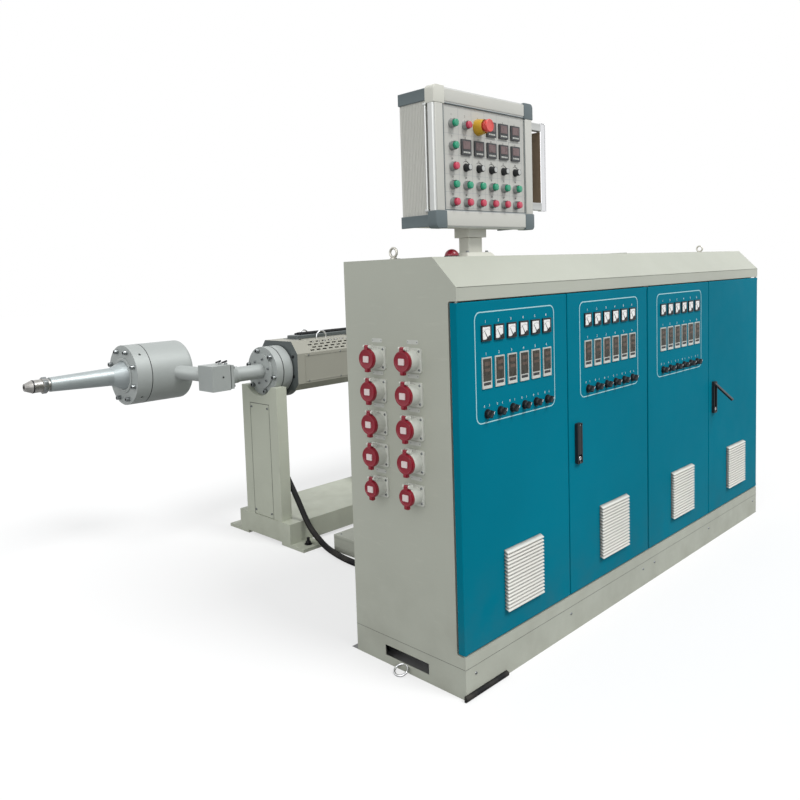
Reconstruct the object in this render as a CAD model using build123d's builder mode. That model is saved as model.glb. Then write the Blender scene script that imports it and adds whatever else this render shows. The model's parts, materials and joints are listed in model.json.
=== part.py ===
"""Plastic extruder: a single-screw extruder on its base, with a crosshead die, and the four-door
control cabinet that stands beside it with a turning operator box on its roof.

Lengths are in millimetres, +Z is up, +X runs along the cabinet's doors and the screw, and +Y runs
from the cabinet's doors to the extruder. The origin is on the floor, at the middle of the whole
machine's length and width.
"""
import os
from math import cos, degrees, pi, radians, sin, tan

from build123d import *

os.makedirs("parts", exist_ok=True)

# Cabinet carcass
CABINET_WIDTH = 2400.0
CABINET_DEPTH = 470.0
CABINET_HEIGHT = 1340.0
CABINET_SHEET = 2.0
BAY_COUNT = 2
PLINTH_HEIGHT = 95.0
PLINTH_SHEET = 3.0
ROOF_CHAMFER_DEPTH = 87.0
ROOF_CHAMFER_DROP = 91.0
HEAD_STRIP_HEIGHT = 41.0
BASE_STRIP_HEIGHT = 39.0
FRAME_RECESS = 32.0
FRAME_LIP = 24.0
POST_WIDTH = 40.0
NOTCH_CORNER_R = 9.0
FORK_SLOT_NEAR = 146.0
FORK_SLOT_FAR = 335.0
FORK_SLOT_BOTTOM = 28.0
FORK_SLOT_TOP = 64.0
BACK_PANEL_RAISE = 1.5
BACK_PANEL_MARGIN = 45.0

# Doors
DOOR_DEPTH = 25.0
DOOR_SHEET = 2.0
DOOR_BEND_R = 3.0
DOOR_END_GAP = 5.0
MEETING_GAP = 5.0
NEIGHBOUR_GAP = 9.0
HINGE_INSET = 7.0
HINGE_PIN_R = 4.0
HINGE_PIN_FIT = 0.1
HINGE_BORE_DEPTH = 9.0
HINGE_PIN_END_GAP = 1.0
HINGE_LUG = 13.0

# Instruments on the doors, measured from a door's left pitch line and down from its top
INSTRUMENT_DOORS = (1, 2, 3)
INSTRUMENT_FIRST = 136.0
INSTRUMENT_PITCH = 66.5
INSTRUMENT_COUNT = 6
CUTOUT_FIT = 0.3
SELECTOR_KNOB_PROUD = 11.0
AMMETER_SIDE = 48.0
AMMETER_CUTOUT = 45.0
AMMETER_DROP = 98.0
AMMETER_PROUD = 6.0
AMMETER_BACK = 58.0
CONTROLLER_HEIGHT = 96.0
CONTROLLER_CUTOUT = 92.0
CONTROLLER_DROP = 219.0
CONTROLLER_PROUD = 9.0
CONTROLLER_BACK = 80.0
SELECTOR_DROP = 345.0
SELECTOR_CUTOUT_R = 11.2
SELECTOR_RING_R = 14.5
SELECTOR_RING_PROUD = 3.0
SELECTOR_KNOB_R = 11.5
SELECTOR_GRIP_WIDTH = 8.0
SELECTOR_PROUD = 22.0
SELECTOR_BACK = 42.0

# Louvred filter covers
COVER_CENTRE = 310.0
COVER_RISE = 173.0
COVER_WIDTH = 205.0
COVER_HEIGHT = 200.0
COVER_PLATE = 4.0
COVER_PROUD = 15.0
COVER_CUTOUT = 178.0
COVER_BACK = 40.0
COVER_RIM = 7.0
SLAT_COUNT = 18
SLAT_LIP = 2.5

# Door handles, measured from the door's left pitch line
HANDLE_WIDTH = 32.0
HANDLE_DROP = 457.0
HANDLE_HEIGHT = 144.0
HANDLE_PROUD = 12.0
HANDLE_RECESS = 9.0
HANDLE_RECESS_WIDTH = 22.0
HANDLE_X = {2: 57.0, 4: 51.0}
LEVER_WIDTH = 18.0
LEVER_THICKNESS = 8.0
LEVER_LENGTH = 104.0
LEVER_PIVOT_DROP = 10.0
LEVER_PIVOT_PROUD = 8.0
LEVER_PIN_R = 1.5
LEVER_PIN_FIT = 0.1
LEVER_REST_ANGLE = {2: 0.0, 4: 48.0}

# Panel sockets on the cabinet's left end
SOCKET_COLUMNS = (174.0, 326.0)
SOCKET_TOP_DROP = 313.0
SOCKET_PITCH = 105.5
SOCKET_ROWS = 5
SOCKET_FLANGE = (76.0, 76.0, 76.0, 76.0, 66.0)
SOCKET_SLEEVE_R = (33.0, 33.0, 33.0, 33.0, 28.0)
SOCKET_FLANGE_THICKNESS = 6.0
SOCKET_REACH = 42.0
SOCKET_BODY_BACK = 38.0
SOCKET_FIT = 0.5
LID_GAP = 0.6
LID_THICKNESS = 9.0
LID_KNUCKLE_WIDTH = 16.0
LID_KNUCKLE_R = 5.0
LID_EAR_WIDTH = 6.0
LID_EAR_GAP = 0.5
LID_EAR_ROOT = 22.0
LID_PIN_R = 2.0
LID_PIN_FIT = 0.1
LID_HINGE_RISE = 7.0
LID_TAB_WIDTH = 18.0
LID_TAB_DROP = 9.0

# Lifting eyes on the cabinet's roof
EYE_INSET = 30.0
EYE_Y = 270.0
EYE_RING_R = 14.0
EYE_ROD_R = 4.0
EYE_SHOULDER_R = 11.0
EYE_SHOULDER_HEIGHT = 5.0

# Mounting plates inside the cabinet
MOUNTING_PLATE_SHEET = 2.5
MOUNTING_PLATE_STANDOFF = 45.0
MOUNTING_PLATE_MARGIN = 60.0
MOUNTING_STUD_R = 6.0

# Operator box and its neck
BOX_LEFT = 40.0
BOX_WIDTH = 520.0
BOX_FRONT = 100.0
BOX_DEPTH = 142.0
BOX_RISE = 88.0
BOX_HEIGHT = 422.0
BOX_FRAME_DEPTH = 22.0
BOX_BODY_INSET = 9.0
BOX_CORNER_R = 10.0
BOX_FRAME_ROUND = 7.0
SCREEN_LEFT = 46.0
SCREEN_BOTTOM = 56.0
SCREEN_WIDTH = 425.0
SCREEN_HEIGHT = 316.0
SCREEN_RECESS = 3.0
GRIP_REACH = 76.0
GRIP_BAR = 24.0
GRIP_BOTTOM = 65.0
GRIP_TOP = 367.0
GRIP_BEND_R = 30.0
GRIP_CORNER = 4.0
NECK_X = 304.0
NECK_Y = 176.0
NECK_FOOT_WIDTH = 150.0
NECK_FOOT_DEPTH = 92.0
NECK_FOOT_HEIGHT = 14.0
NECK_FOOT_TAPER = 40.0
NECK_POST_WIDTH = 74.0
NECK_POST_DEPTH = 42.0
NECK_POST_TOP = 62.0
NECK_HEAD_WIDTH = 96.0
NECK_HEAD_DEPTH = 62.0
NECK_CORNER_R = 5.0
NECK_GAP = 1.0
NECK_SPIGOT_R = 15.0
NECK_SPIGOT_FIT = 0.3
NECK_SPIGOT_DEPTH = 30.0

# Controls on the operator box: columns from the screen plate's left edge, rows down from its top
CONTROL_COLUMNS = 6
CONTROL_FIRST = 41.0
CONTROL_PITCH = 66.3
CONTROL_DROPS = (56.0, 123.0, 185.0, 240.0, 293.0)
BUTTON_R = 14.0
BUTTON_PROUD = 22.0
DISPLAY_SIDE = 48.0
DISPLAY_PROUD = 6.0
DIAL_R = 13.0
DIAL_PROUD = 20.0
STOP_COLLAR_R = 26.0
STOP_COLLAR_PROUD = 30.0
STOP_COLLAR_TAPER = 8.0
STOP_NECK_R = 12.0
STOP_HEAD_R = 20.0
STOP_HEAD_BACK = 40.0
STOP_PROUD = 56.0

# Screw axis and the stations along it
SCREW_FROM_DOORS = 1613.0
SCREW_Z = 840.0
NOZZLE_OVERHANG = 543.0
JOINT_FROM_CABINET_END = 538.0
SEAL_GAP = 4.0
ADAPTER_DISC_R = 119.0
ADAPTER_DISC_LENGTH = 39.0
ADAPTER_HUB_R = 85.0
ADAPTER_HUB_LENGTH = 10.0
ADAPTER_PIPE_R = 36.0
ADAPTER_PIPE_LENGTH = 145.0
SEAL_RING_R = 70.0
BARREL_DISC_LENGTH = 54.0
BARREL_R = 62.0
COVER_START_GAP = 6.0
END_PLATE_LENGTH = 40.0
BARREL_COVER_LENGTH = 1340.0
BLOWER_COUNT = 3
BLOWER_START = 600.0
BLOWER_R = 78.0
BLOWER_WIDTH = 90.0
BLOWER_DROP = 130.0
BLOWER_DUCT = 80.0
BARREL_COVER_SHEET = 3.0
BARREL_COVER_HALF_WIDTH = 150.0
BARREL_COVER_TOP_HALF_WIDTH = 105.0
BARREL_COVER_TOP = 140.0
BARREL_COVER_SHOULDER = 80.0
BARREL_COVER_WAIST = -68.0
BARREL_COVER_BOTTOM = -102.0
BARREL_COVER_BOTTOM_HALF_WIDTH = 118.0
COVER_SLOT_LENGTH = 26.0
COVER_SLOT_HEIGHT = 7.0
COVER_SLOT_PITCH = 41.0
COVER_SLOT_ROW_PITCH = 16.0
COVER_SLOT_END_GAP = 40.0
COVER_BORDER_INSET = 8.0
COVER_BORDER_WIDTH = 6.0
COVER_BORDER_PROUD = 2.0
END_PLATE_CHIN = -140.0
THROAT_LENGTH = 210.0
THROAT_HALF_WIDTH = 95.0
THROAT_BORE_R = 40.0
THROAT_FLANGE = 200.0
THROAT_FLANGE_THICKNESS = 18.0
THROAT_FLANGE_TOP = 175.0
THROAT_BOLT_SPACING = 160.0
THROAT_BOLT_R = 5.5
GEARBOX_LENGTH = 430.0
GEARBOX_HALF_WIDTH = 165.0
GEARBOX_TOP = 170.0
GEARBOX_SHOULDER = 102.0
GEARBOX_TOP_HALF_WIDTH = 115.0
GEARBOX_BOTTOM = -200.0
GEARBOX_FLANGE_PROUD = 14.0
GEARBOX_FLANGE_HALF_HEIGHT = 16.0
GEARBOX_LID_MARGIN = 60.0
GEARBOX_LID_HEIGHT = 14.0
COUPLING_LENGTH = 120.0
MOTOR_LENGTH = 580.0
MOTOR_R = 170.0
MOTOR_FOOT_HEIGHT = 24.0
MOTOR_FOOT_HALF_SPAN = 160.0
MOTOR_FOOT_END_GAP = 90.0
MOTOR_BOX_SIDE = 150.0
MOTOR_BOX_TOP = 245.0
MOTOR_SHAFT_R = 27.0
GUARD_SHEET = 3.0
GUARD_HALF_WIDTH = 80.0

# Adapter block, feed bend and die
BLOCK_LENGTH = 100.0
BLOCK_WIDTH = 120.0
BLOCK_HEIGHT = 119.0
BLOCK_COLLAR_R = 40.0
BLOCK_HOLE_FROM_LEFT = 60.0
BLOCK_HOLE_RISE = 4.0
BLOCK_HOLE_R = 5.5
BLOCK_HOLE_DEPTH = 25.0
BLOCK_PLATE_LENGTH = 15.0
BLOCK_PLATE_SIDE = 112.0
BLOCK_SEAM = 7.0
BLOCK_COLLAR_LENGTH = 16.0
BLOCK_NECK_R = 50.0
BLOCK_CONE_R = 56.0
BLOCK_CONE_LENGTH = 37.0
BEND_COLLAR_R = 46.0
BEND_COLLAR_LENGTH = 30.0
BEND_RISE = 8.0
BEND_END_RISE = 12.0
BEND_DRIFT = -139.0
BEND_COLLAR_TAPER = 8.0
BEND_PIPE_R = 34.0
DIE_OFFSET_Y = 327.0
DIE_RISE = 23.0
DIE_R = 142.0
DIE_FLANGE_LENGTH = 74.0
DIE_SEAM = 3.0
DIE_SPIGOT_R = 116.0
DIE_BODY_LENGTH = 227.0
DIE_HOLE_COUNT = 4
DIE_HOLE_R = 6.5
DIE_HOLE_DEPTH = 18.0
DIE_BACK_ROUND = 22.0
NOZZLE_ROOT_R = 68.0
NOZZLE_NECK_R = 42.0
NOZZLE_FRONT_R = 32.0
NOZZLE_FLARE_LENGTH = 66.0
NOZZLE_TAPER_LENGTH = 289.0
NOZZLE_GROOVE_R = 25.0
NOZZLE_GROOVE_LENGTH = 13.0
NOZZLE_NUT_R = 32.5
NOZZLE_NUT_LENGTH = 23.0
NOZZLE_TIP_R = 28.5
NOZZLE_TIP_LENGTH = 43.0
NOZZLE_END_R = 16.0
NOZZLE_END_LENGTH = 32.0
NOZZLE_BORE_R = 8.0
NOZZLE_BORE_DEPTH = 60.0

# Base, column and drive stand
FOOT_THICKNESS = 15.0
FOOT_HALF_SPAN = 300.0
FOOT_WIDTH = 165.0
FOOT_LENGTH = 135.0
FOOT_HOLE_R = 10.0
FOOT_HOLE_INSET = 45.0
BEAM_START = 465.0
DECK_HALF_WIDTH = 203.0
DECK_TOP = 114.0
COLUMN_LENGTH = 62.0
COLUMN_SETBACK = 3.0
COLUMN_HALF_WIDTH = 140.0
COLUMN_TOP_DROP = 72.0
COLUMN_SADDLE_FIT = 1.5
COLUMN_PANEL_GROOVE = 4.0
COLUMN_PANEL_HALF_WIDTH = 78.0
COLUMN_PANEL_DROP = 85.0
BED_START = 1240.0
BED_HALF_WIDTH = 172.0
BED_TOP = 285.0
DRIVE_STAND_LEAD = 20.0
DRIVE_STAND_HALF_WIDTH = 150.0

# Cable trunk on the floor and the power cable
TRUNK_LEFT = 582.0
TRUNK_WIDTH = 200.0
TRUNK_HEIGHT = 80.0
TRUNK_END_Y = 1227.0
CABLE_R = 14.0
GLAND_R = 20.0
GLAND_LENGTH = 30.0
JUNCTION_BOX_Y = 1572.0
JUNCTION_BOX_BOTTOM = 500.0
JUNCTION_BOX_DEPTH = 44.0
JUNCTION_BOX_WIDTH = 56.0
JUNCTION_BOX_HEIGHT = 80.0
PLINTH_GLAND_X = 536.0
PLINTH_GLAND_Z = 30.0

# The cable's route from the junction box to the plinth, from the cabinet's front left corner
CABLE_POINTS = [
    (552, JUNCTION_BOX_Y, 410),
    (551, 1549, 352),
    (549, 1513, 304),
    (549, 1474, 252),
    (552, 1437, 193),
    (554, 1403, 135),
    (558, 1368, 84),
    (564, 1325, 46),
    (557, 1262, 19),
    (540, 1188, CABLE_R),
    (521, 1104, CABLE_R),
    (514, 1015, CABLE_R),
    (515, 915, CABLE_R),
    (523, 805, CABLE_R),
    (530, 695, CABLE_R),
    (535, 610, 25),
    (536, 560, PLINTH_GLAND_Z),
]

# Stations that follow from the sizes above
LEVER_END_R = LEVER_THICKNESS / 2
FRONT_REACH = (LEVER_PIVOT_PROUD + LEVER_END_R
               + (LEVER_LENGTH - LEVER_END_R) * sin(radians(max(LEVER_REST_ANGLE.values()))))
DRIVE_END = (JOINT_FROM_CABINET_END + SEAL_GAP / 2 + BARREL_DISC_LENGTH + COVER_START_GAP
             + END_PLATE_LENGTH + BARREL_COVER_LENGTH + THROAT_LENGTH + GEARBOX_LENGTH
             + COUPLING_LENGTH + MOTOR_LENGTH)
MACHINE_LENGTH = NOZZLE_OVERHANG + DRIVE_END
MACHINE_WIDTH = FRONT_REACH + SCREW_FROM_DOORS + max(FOOT_HALF_SPAN, DIE_OFFSET_Y + DIE_R)
CABINET_X = NOZZLE_OVERHANG - MACHINE_LENGTH / 2
CABINET_Y = FRONT_REACH - MACHINE_WIDTH / 2
SCREW_Y = CABINET_Y + SCREW_FROM_DOORS
BAY_WIDTH = CABINET_WIDTH / BAY_COUNT
DOOR_PITCH = BAY_WIDTH / 2
DOOR_NUMBERS = range(1, 2 * BAY_COUNT + 1)
ROOF_EDGE_Z = CABINET_HEIGHT - ROOF_CHAMFER_DROP
HEAD_STRIP_BOTTOM = ROOF_EDGE_Z - HEAD_STRIP_HEIGHT
BASE_STRIP_TOP = PLINTH_HEIGHT + BASE_STRIP_HEIGHT
DOOR_BOTTOM = BASE_STRIP_TOP + DOOR_END_GAP
DOOR_TOP = HEAD_STRIP_BOTTOM - DOOR_END_GAP
AMMETER_Z = DOOR_TOP - AMMETER_DROP
CONTROLLER_Z = DOOR_TOP - CONTROLLER_DROP
SELECTOR_Z = DOOR_TOP - SELECTOR_DROP
COVER_Z = DOOR_BOTTOM + COVER_RISE
HANDLE_TOP = DOOR_TOP - HANDLE_DROP
HANDLE_BOTTOM = HANDLE_TOP - HANDLE_HEIGHT
LEVER_PIVOT_Z = HANDLE_TOP - LEVER_PIVOT_DROP
SOCKET_TOP_Z = CABINET_HEIGHT - SOCKET_TOP_DROP
BOX_BOTTOM = CABINET_HEIGHT + BOX_RISE
COLUMN_TOP = SCREW_Z - COLUMN_TOP_DROP
COLUMN_PANEL_TOP = COLUMN_TOP - COLUMN_PANEL_DROP


def add_box(x_limits, y_limits, z_limits, mode=Mode.ADD):
    """Adds a box between two limits on each axis to the part that is open."""
    limits = (x_limits, y_limits, z_limits)
    sizes = [high - low for low, high in limits]
    middle = tuple((low + high) / 2 for low, high in limits)
    with Locations(middle):
        Box(*sizes, mode=mode)


def save(part, name):
    """Labels a finished piece and writes it as its own file."""
    part.label = name
    export_step(part, f"parts/{name}.step")


def facing_doors(y):
    """Plane seen from the front at a depth y, with local x along X and local y along Z."""
    return Plane.XZ.offset(-y)


def facing_screw(x, y=SCREW_Y, z=SCREW_Z):
    """Plane across the screw line at x, with local x along Y, local y along Z and +X out of it."""
    return Plane(origin=(x, y, z), x_dir=(0, 1, 0), z_dir=(1, 0, 0))


def along_screw(y=SCREW_Y, z=SCREW_Z):
    """Plane that holds a turned piece's profile, with local x along X and local y upwards."""
    return Plane(origin=(0, y, z), x_dir=(1, 0, 0), z_dir=(0, -1, 0))


# Cabinet carcass
cab_left = CABINET_X
cab_right = CABINET_X + CABINET_WIDTH
cab_back = CABINET_Y + CABINET_DEPTH


def end_wall(x, with_sockets):
    """Folded end wall with a notch that leaves the door edges in view."""
    with BuildPart() as wall:
        with BuildSketch(Plane(origin=(x, CABINET_Y, 0), x_dir=(0, 1, 0), z_dir=(1, 0, 0))) as outline:
            with BuildLine():
                Polyline(
                    (0, PLINTH_HEIGHT),
                    (CABINET_DEPTH, PLINTH_HEIGHT),
                    (CABINET_DEPTH, CABINET_HEIGHT),
                    (ROOF_CHAMFER_DEPTH, CABINET_HEIGHT),
                    (0, ROOF_EDGE_Z),
                    (0, HEAD_STRIP_BOTTOM),
                    (FRAME_RECESS, HEAD_STRIP_BOTTOM),
                    (FRAME_RECESS, BASE_STRIP_TOP),
                    (0, BASE_STRIP_TOP),
                    close=True,
                )
            make_face()
            notch_corners = outline.vertices().filter_by_position(
                Axis.X, FRAME_RECESS - 1, FRAME_RECESS + 1)
            fillet(notch_corners, radius=NOTCH_CORNER_R)
            if with_sockets:
                for (y, z), sleeve_r in socket_places():
                    with Locations((y, z)):
                        Circle(sleeve_r - SOCKET_FLANGE_THICKNESS + SOCKET_FIT, mode=Mode.SUBTRACT)
        extrude(amount=CABINET_SHEET)
    return wall.part


def socket_places():
    """Centre of each panel socket, from the cabinet's front and the floor, with its sleeve radius."""
    places = []
    for column_y in SOCKET_COLUMNS:
        for row in range(SOCKET_ROWS):
            centre = (column_y, SOCKET_TOP_Z - row * SOCKET_PITCH)
            places.append((centre, SOCKET_SLEEVE_R[row]))
    return places


save(end_wall(cab_left, with_sockets=True), "cabinet_left_wall")
save(end_wall(cab_right - CABINET_SHEET, with_sockets=False), "cabinet_right_wall")

inner_left = cab_left + CABINET_SHEET
inner_right = cab_right - CABINET_SHEET

with BuildPart() as back_wall:
    add_box((inner_left, inner_right), (cab_back - CABINET_SHEET, cab_back),
            (PLINTH_HEIGHT, CABINET_HEIGHT - CABINET_SHEET))
    for bay in range(BAY_COUNT):
        bay_left = cab_left + bay * BAY_WIDTH
        add_box((bay_left + BACK_PANEL_MARGIN, bay_left + BAY_WIDTH - BACK_PANEL_MARGIN),
                (cab_back, cab_back + BACK_PANEL_RAISE),
                (PLINTH_HEIGHT + BACK_PANEL_MARGIN, CABINET_HEIGHT - BACK_PANEL_MARGIN))
save(back_wall.part, "cabinet_back_wall")

with BuildPart() as roof:
    with BuildSketch(Plane(origin=(inner_left, CABINET_Y, 0), x_dir=(0, 1, 0), z_dir=(1, 0, 0))):
        with BuildLine():
            Polyline((0, ROOF_EDGE_Z), (ROOF_CHAMFER_DEPTH, CABINET_HEIGHT),
                     (CABINET_DEPTH, CABINET_HEIGHT))
            offset(amount=CABINET_SHEET, side=Side.RIGHT, closed=True)
        make_face()
    extrude(amount=inner_right - inner_left)
save(roof.part, "cabinet_roof")

def door_limits(number):
    """Left and right edges of a door, counted from 1 at the cabinet's left end."""
    left = cab_left + (number - 1) * DOOR_PITCH
    right = left + DOOR_PITCH
    if number % 2:
        return left + (NEIGHBOUR_GAP / 2 if number > 1 else 0), right - MEETING_GAP / 2
    return left + MEETING_GAP / 2, right - (NEIGHBOUR_GAP / 2 if number < 2 * BAY_COUNT else 0)


def hinge_x(number):
    """Place of a door's hinge pins: odd doors hang on their left edge, even ones on their right."""
    left, right = door_limits(number)
    return left + HINGE_INSET if number % 2 else right - HINGE_INSET


with BuildPart() as door_frame:
    frame_front = CABINET_Y + FRAME_RECESS
    frame_back = frame_front + CABINET_SHEET
    head_top = ROOF_EDGE_Z - CABINET_SHEET
    for strip, shelf, web in (
        ((HEAD_STRIP_BOTTOM, head_top),
         (HEAD_STRIP_BOTTOM, HEAD_STRIP_BOTTOM + CABINET_SHEET),
         (HEAD_STRIP_BOTTOM - FRAME_LIP, HEAD_STRIP_BOTTOM + CABINET_SHEET)),
        ((PLINTH_HEIGHT, BASE_STRIP_TOP),
         (BASE_STRIP_TOP - CABINET_SHEET, BASE_STRIP_TOP),
         (BASE_STRIP_TOP - CABINET_SHEET, BASE_STRIP_TOP + FRAME_LIP)),
    ):
        add_box((inner_left, inner_right), (CABINET_Y, CABINET_Y + CABINET_SHEET), strip)
        add_box((inner_left, inner_right), (CABINET_Y, frame_back), shelf)
        add_box((inner_left, inner_right), (frame_front, frame_back), web)
    pin_length = DOOR_END_GAP + HINGE_BORE_DEPTH - HINGE_PIN_END_GAP
    hinge_places = [(hinge_x(number), CABINET_Y + HINGE_INSET) for number in DOOR_NUMBERS]
    for pin_root, pin_reach in ((HEAD_STRIP_BOTTOM, -pin_length), (BASE_STRIP_TOP, pin_length)):
        with BuildSketch(Plane.XY.offset(pin_root)):
            with Locations(*hinge_places):
                Circle(HINGE_PIN_R)
        extrude(amount=pin_reach)
    for post_left, post_right in (
        (inner_left, inner_left + POST_WIDTH),
        (cab_left + BAY_WIDTH - POST_WIDTH, cab_left + BAY_WIDTH + POST_WIDTH),
        (inner_right - POST_WIDTH, inner_right),
    ):
        add_box((post_left, post_right), (frame_front, frame_back),
                (BASE_STRIP_TOP, HEAD_STRIP_BOTTOM))
save(door_frame.part, "door_frame")

with BuildPart() as plinth:
    add_box((cab_left, cab_right), (CABINET_Y, cab_back), (0, PLINTH_HEIGHT))
    add_box((cab_left + PLINTH_SHEET, cab_right - PLINTH_SHEET),
            (CABINET_Y + PLINTH_SHEET, cab_back - PLINTH_SHEET),
            (0, PLINTH_HEIGHT - PLINTH_SHEET), mode=Mode.SUBTRACT)
    add_box((cab_left, cab_right),
            (CABINET_Y + FORK_SLOT_NEAR, CABINET_Y + FORK_SLOT_FAR),
            (FORK_SLOT_BOTTOM, FORK_SLOT_TOP), mode=Mode.SUBTRACT)
    with Locations(Plane(origin=(cab_left + PLINTH_GLAND_X, cab_back, PLINTH_GLAND_Z),
                         z_dir=(0, 1, 0))):
        Cylinder(GLAND_R, GLAND_LENGTH, align=(Align.CENTER, Align.CENTER, Align.MIN))
save(plinth.part, "plinth")

with BuildPart() as mounting_plates:
    plate_back = cab_back - CABINET_SHEET - MOUNTING_PLATE_STANDOFF
    plate_bottom = PLINTH_HEIGHT + MOUNTING_PLATE_MARGIN
    plate_top = HEAD_STRIP_BOTTOM - MOUNTING_PLATE_MARGIN
    for bay in range(BAY_COUNT):
        plate_left = cab_left + bay * BAY_WIDTH + MOUNTING_PLATE_MARGIN
        plate_right = cab_left + (bay + 1) * BAY_WIDTH - MOUNTING_PLATE_MARGIN
        add_box((plate_left, plate_right), (plate_back - MOUNTING_PLATE_SHEET, plate_back),
                (plate_bottom, plate_top))
        stud_plane = facing_doors(cab_back - CABINET_SHEET)
        with BuildSketch(stud_plane):
            with Locations(((plate_left + plate_right) / 2, (plate_bottom + plate_top) / 2)):
                with GridLocations(plate_right - plate_left - MOUNTING_PLATE_MARGIN,
                                   plate_top - plate_bottom - MOUNTING_PLATE_MARGIN, 2, 2):
                    Circle(MOUNTING_STUD_R)
        extrude(amount=MOUNTING_PLATE_STANDOFF)
save(mounting_plates.part, "mounting_plates")

with BuildPart() as lifting_eyes:
    for eye_x in (cab_left + EYE_INSET, cab_right - EYE_INSET):
        ring_z = CABINET_HEIGHT + EYE_SHOULDER_HEIGHT + EYE_RING_R + EYE_ROD_R / 2
        with Locations((eye_x, CABINET_Y + EYE_Y, CABINET_HEIGHT)):
            Cylinder(EYE_SHOULDER_R, EYE_SHOULDER_HEIGHT,
                     align=(Align.CENTER, Align.CENTER, Align.MIN))
        with Locations(Plane(origin=(eye_x, CABINET_Y + EYE_Y, ring_z), z_dir=(1, 0, 0))):
            Torus(EYE_RING_R, EYE_ROD_R)
save(lifting_eyes.part, "lifting_eyes")

# Panel sockets and their sprung lids
lid_plane_x = cab_left - SOCKET_REACH
lid_pin_x = lid_plane_x - LID_GAP - LID_THICKNESS / 2


def hinge_z(z, sleeve_r):
    """Height of a lid's hinge pin."""
    return z + sleeve_r + LID_HINGE_RISE


with BuildPart() as socket_bodies:
    end_plane = Plane(origin=(cab_left, CABINET_Y, 0), x_dir=(0, 1, 0), z_dir=(1, 0, 0))
    sleeve_steps = (
        (-SOCKET_REACH, 0),
        (SOCKET_BODY_BACK, SOCKET_FLANGE_THICKNESS),
    )
    with BuildSketch(end_plane):
        for index, (centre, sleeve_r) in enumerate(socket_places()):
            flange = SOCKET_FLANGE[index % SOCKET_ROWS]
            with Locations(centre):
                RectangleRounded(flange, flange, flange / 9)
    extrude(amount=-SOCKET_FLANGE_THICKNESS)
    for reach, step_in in sleeve_steps:
        with BuildSketch(end_plane):
            for centre, sleeve_r in socket_places():
                with Locations(centre):
                    Circle(sleeve_r - step_in)
        extrude(amount=reach)
    pin_centres = [(lid_pin_x, CABINET_Y + y, hinge_z(z, sleeve_r))
                   for (y, z), sleeve_r in socket_places()]
    ear_offset = LID_KNUCKLE_WIDTH / 2 + LID_EAR_GAP + LID_EAR_WIDTH / 2
    ear_centres = [(x, y + side * ear_offset, z) for x, y, z in pin_centres for side in (-1, 1)]
    ear_back = lid_plane_x + LID_THICKNESS
    with Locations(*[Plane(origin=centre, z_dir=(0, 1, 0)) for centre in ear_centres]):
        Cylinder(LID_KNUCKLE_R, LID_EAR_WIDTH)
    with BuildSketch(Plane(origin=(ear_back, 0, 0), x_dir=(0, 1, 0), z_dir=(1, 0, 0))):
        with Locations(*[(y, z) for x, y, z in ear_centres]):
            Rectangle(LID_EAR_WIDTH, 2 * LID_KNUCKLE_R)
    extrude(amount=lid_pin_x - ear_back)
    with BuildSketch(Plane(origin=(ear_back, 0, 0), x_dir=(0, 1, 0), z_dir=(1, 0, 0))):
        with Locations(*[(y, z - LID_EAR_ROOT / 2) for x, y, z in ear_centres]):
            Rectangle(LID_EAR_WIDTH, LID_EAR_ROOT + 2 * LID_KNUCKLE_R)
    extrude(amount=lid_plane_x - ear_back)
    with Locations(*[Plane(origin=centre, z_dir=(0, 1, 0)) for centre in pin_centres]):
        Cylinder(LID_PIN_R, 2 * ear_offset)
save(socket_bodies.part, "socket_bodies")


def socket_lid(y, z, sleeve_r):
    """Round lid with a hinge knuckle above and a finger tab below."""
    pin_z = hinge_z(z, sleeve_r)
    with BuildPart() as lid:
        with BuildSketch(facing_screw(lid_plane_x - LID_GAP, y, z)):
            Circle(sleeve_r)
            with Locations((0, -sleeve_r)):
                RectangleRounded(LID_TAB_WIDTH, 2 * LID_TAB_DROP, LID_TAB_DROP / 3)
            with Locations((0, (sleeve_r + pin_z - z) / 2)):
                Rectangle(LID_KNUCKLE_WIDTH, pin_z - z - sleeve_r + 2 * LID_GAP)
        extrude(amount=-LID_THICKNESS)
        with Locations(Plane(origin=(lid_pin_x, y, pin_z), z_dir=(0, 1, 0))):
            Cylinder(LID_KNUCKLE_R, LID_KNUCKLE_WIDTH)
            Cylinder(LID_PIN_R + LID_PIN_FIT, LID_KNUCKLE_WIDTH, mode=Mode.SUBTRACT)
    return lid.part


for index, ((y, z), sleeve_r) in enumerate(socket_places()):
    save(socket_lid(CABINET_Y + y, z, sleeve_r), f"socket_lid_{index + 1}")


# Doors
def instrument_x(number):
    """Centres of the instrument columns on a door."""
    first = cab_left + (number - 1) * DOOR_PITCH + INSTRUMENT_FIRST
    return [first + column * INSTRUMENT_PITCH for column in range(INSTRUMENT_COUNT)]


def cover_x(number):
    """Centre of a door's filter cover."""
    return cab_left + (number - 1) * DOOR_PITCH + COVER_CENTRE


def handle_x(number):
    """Centre of a door's handle."""
    return cab_left + (number - 1) * DOOR_PITCH + HANDLE_X[number]


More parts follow.
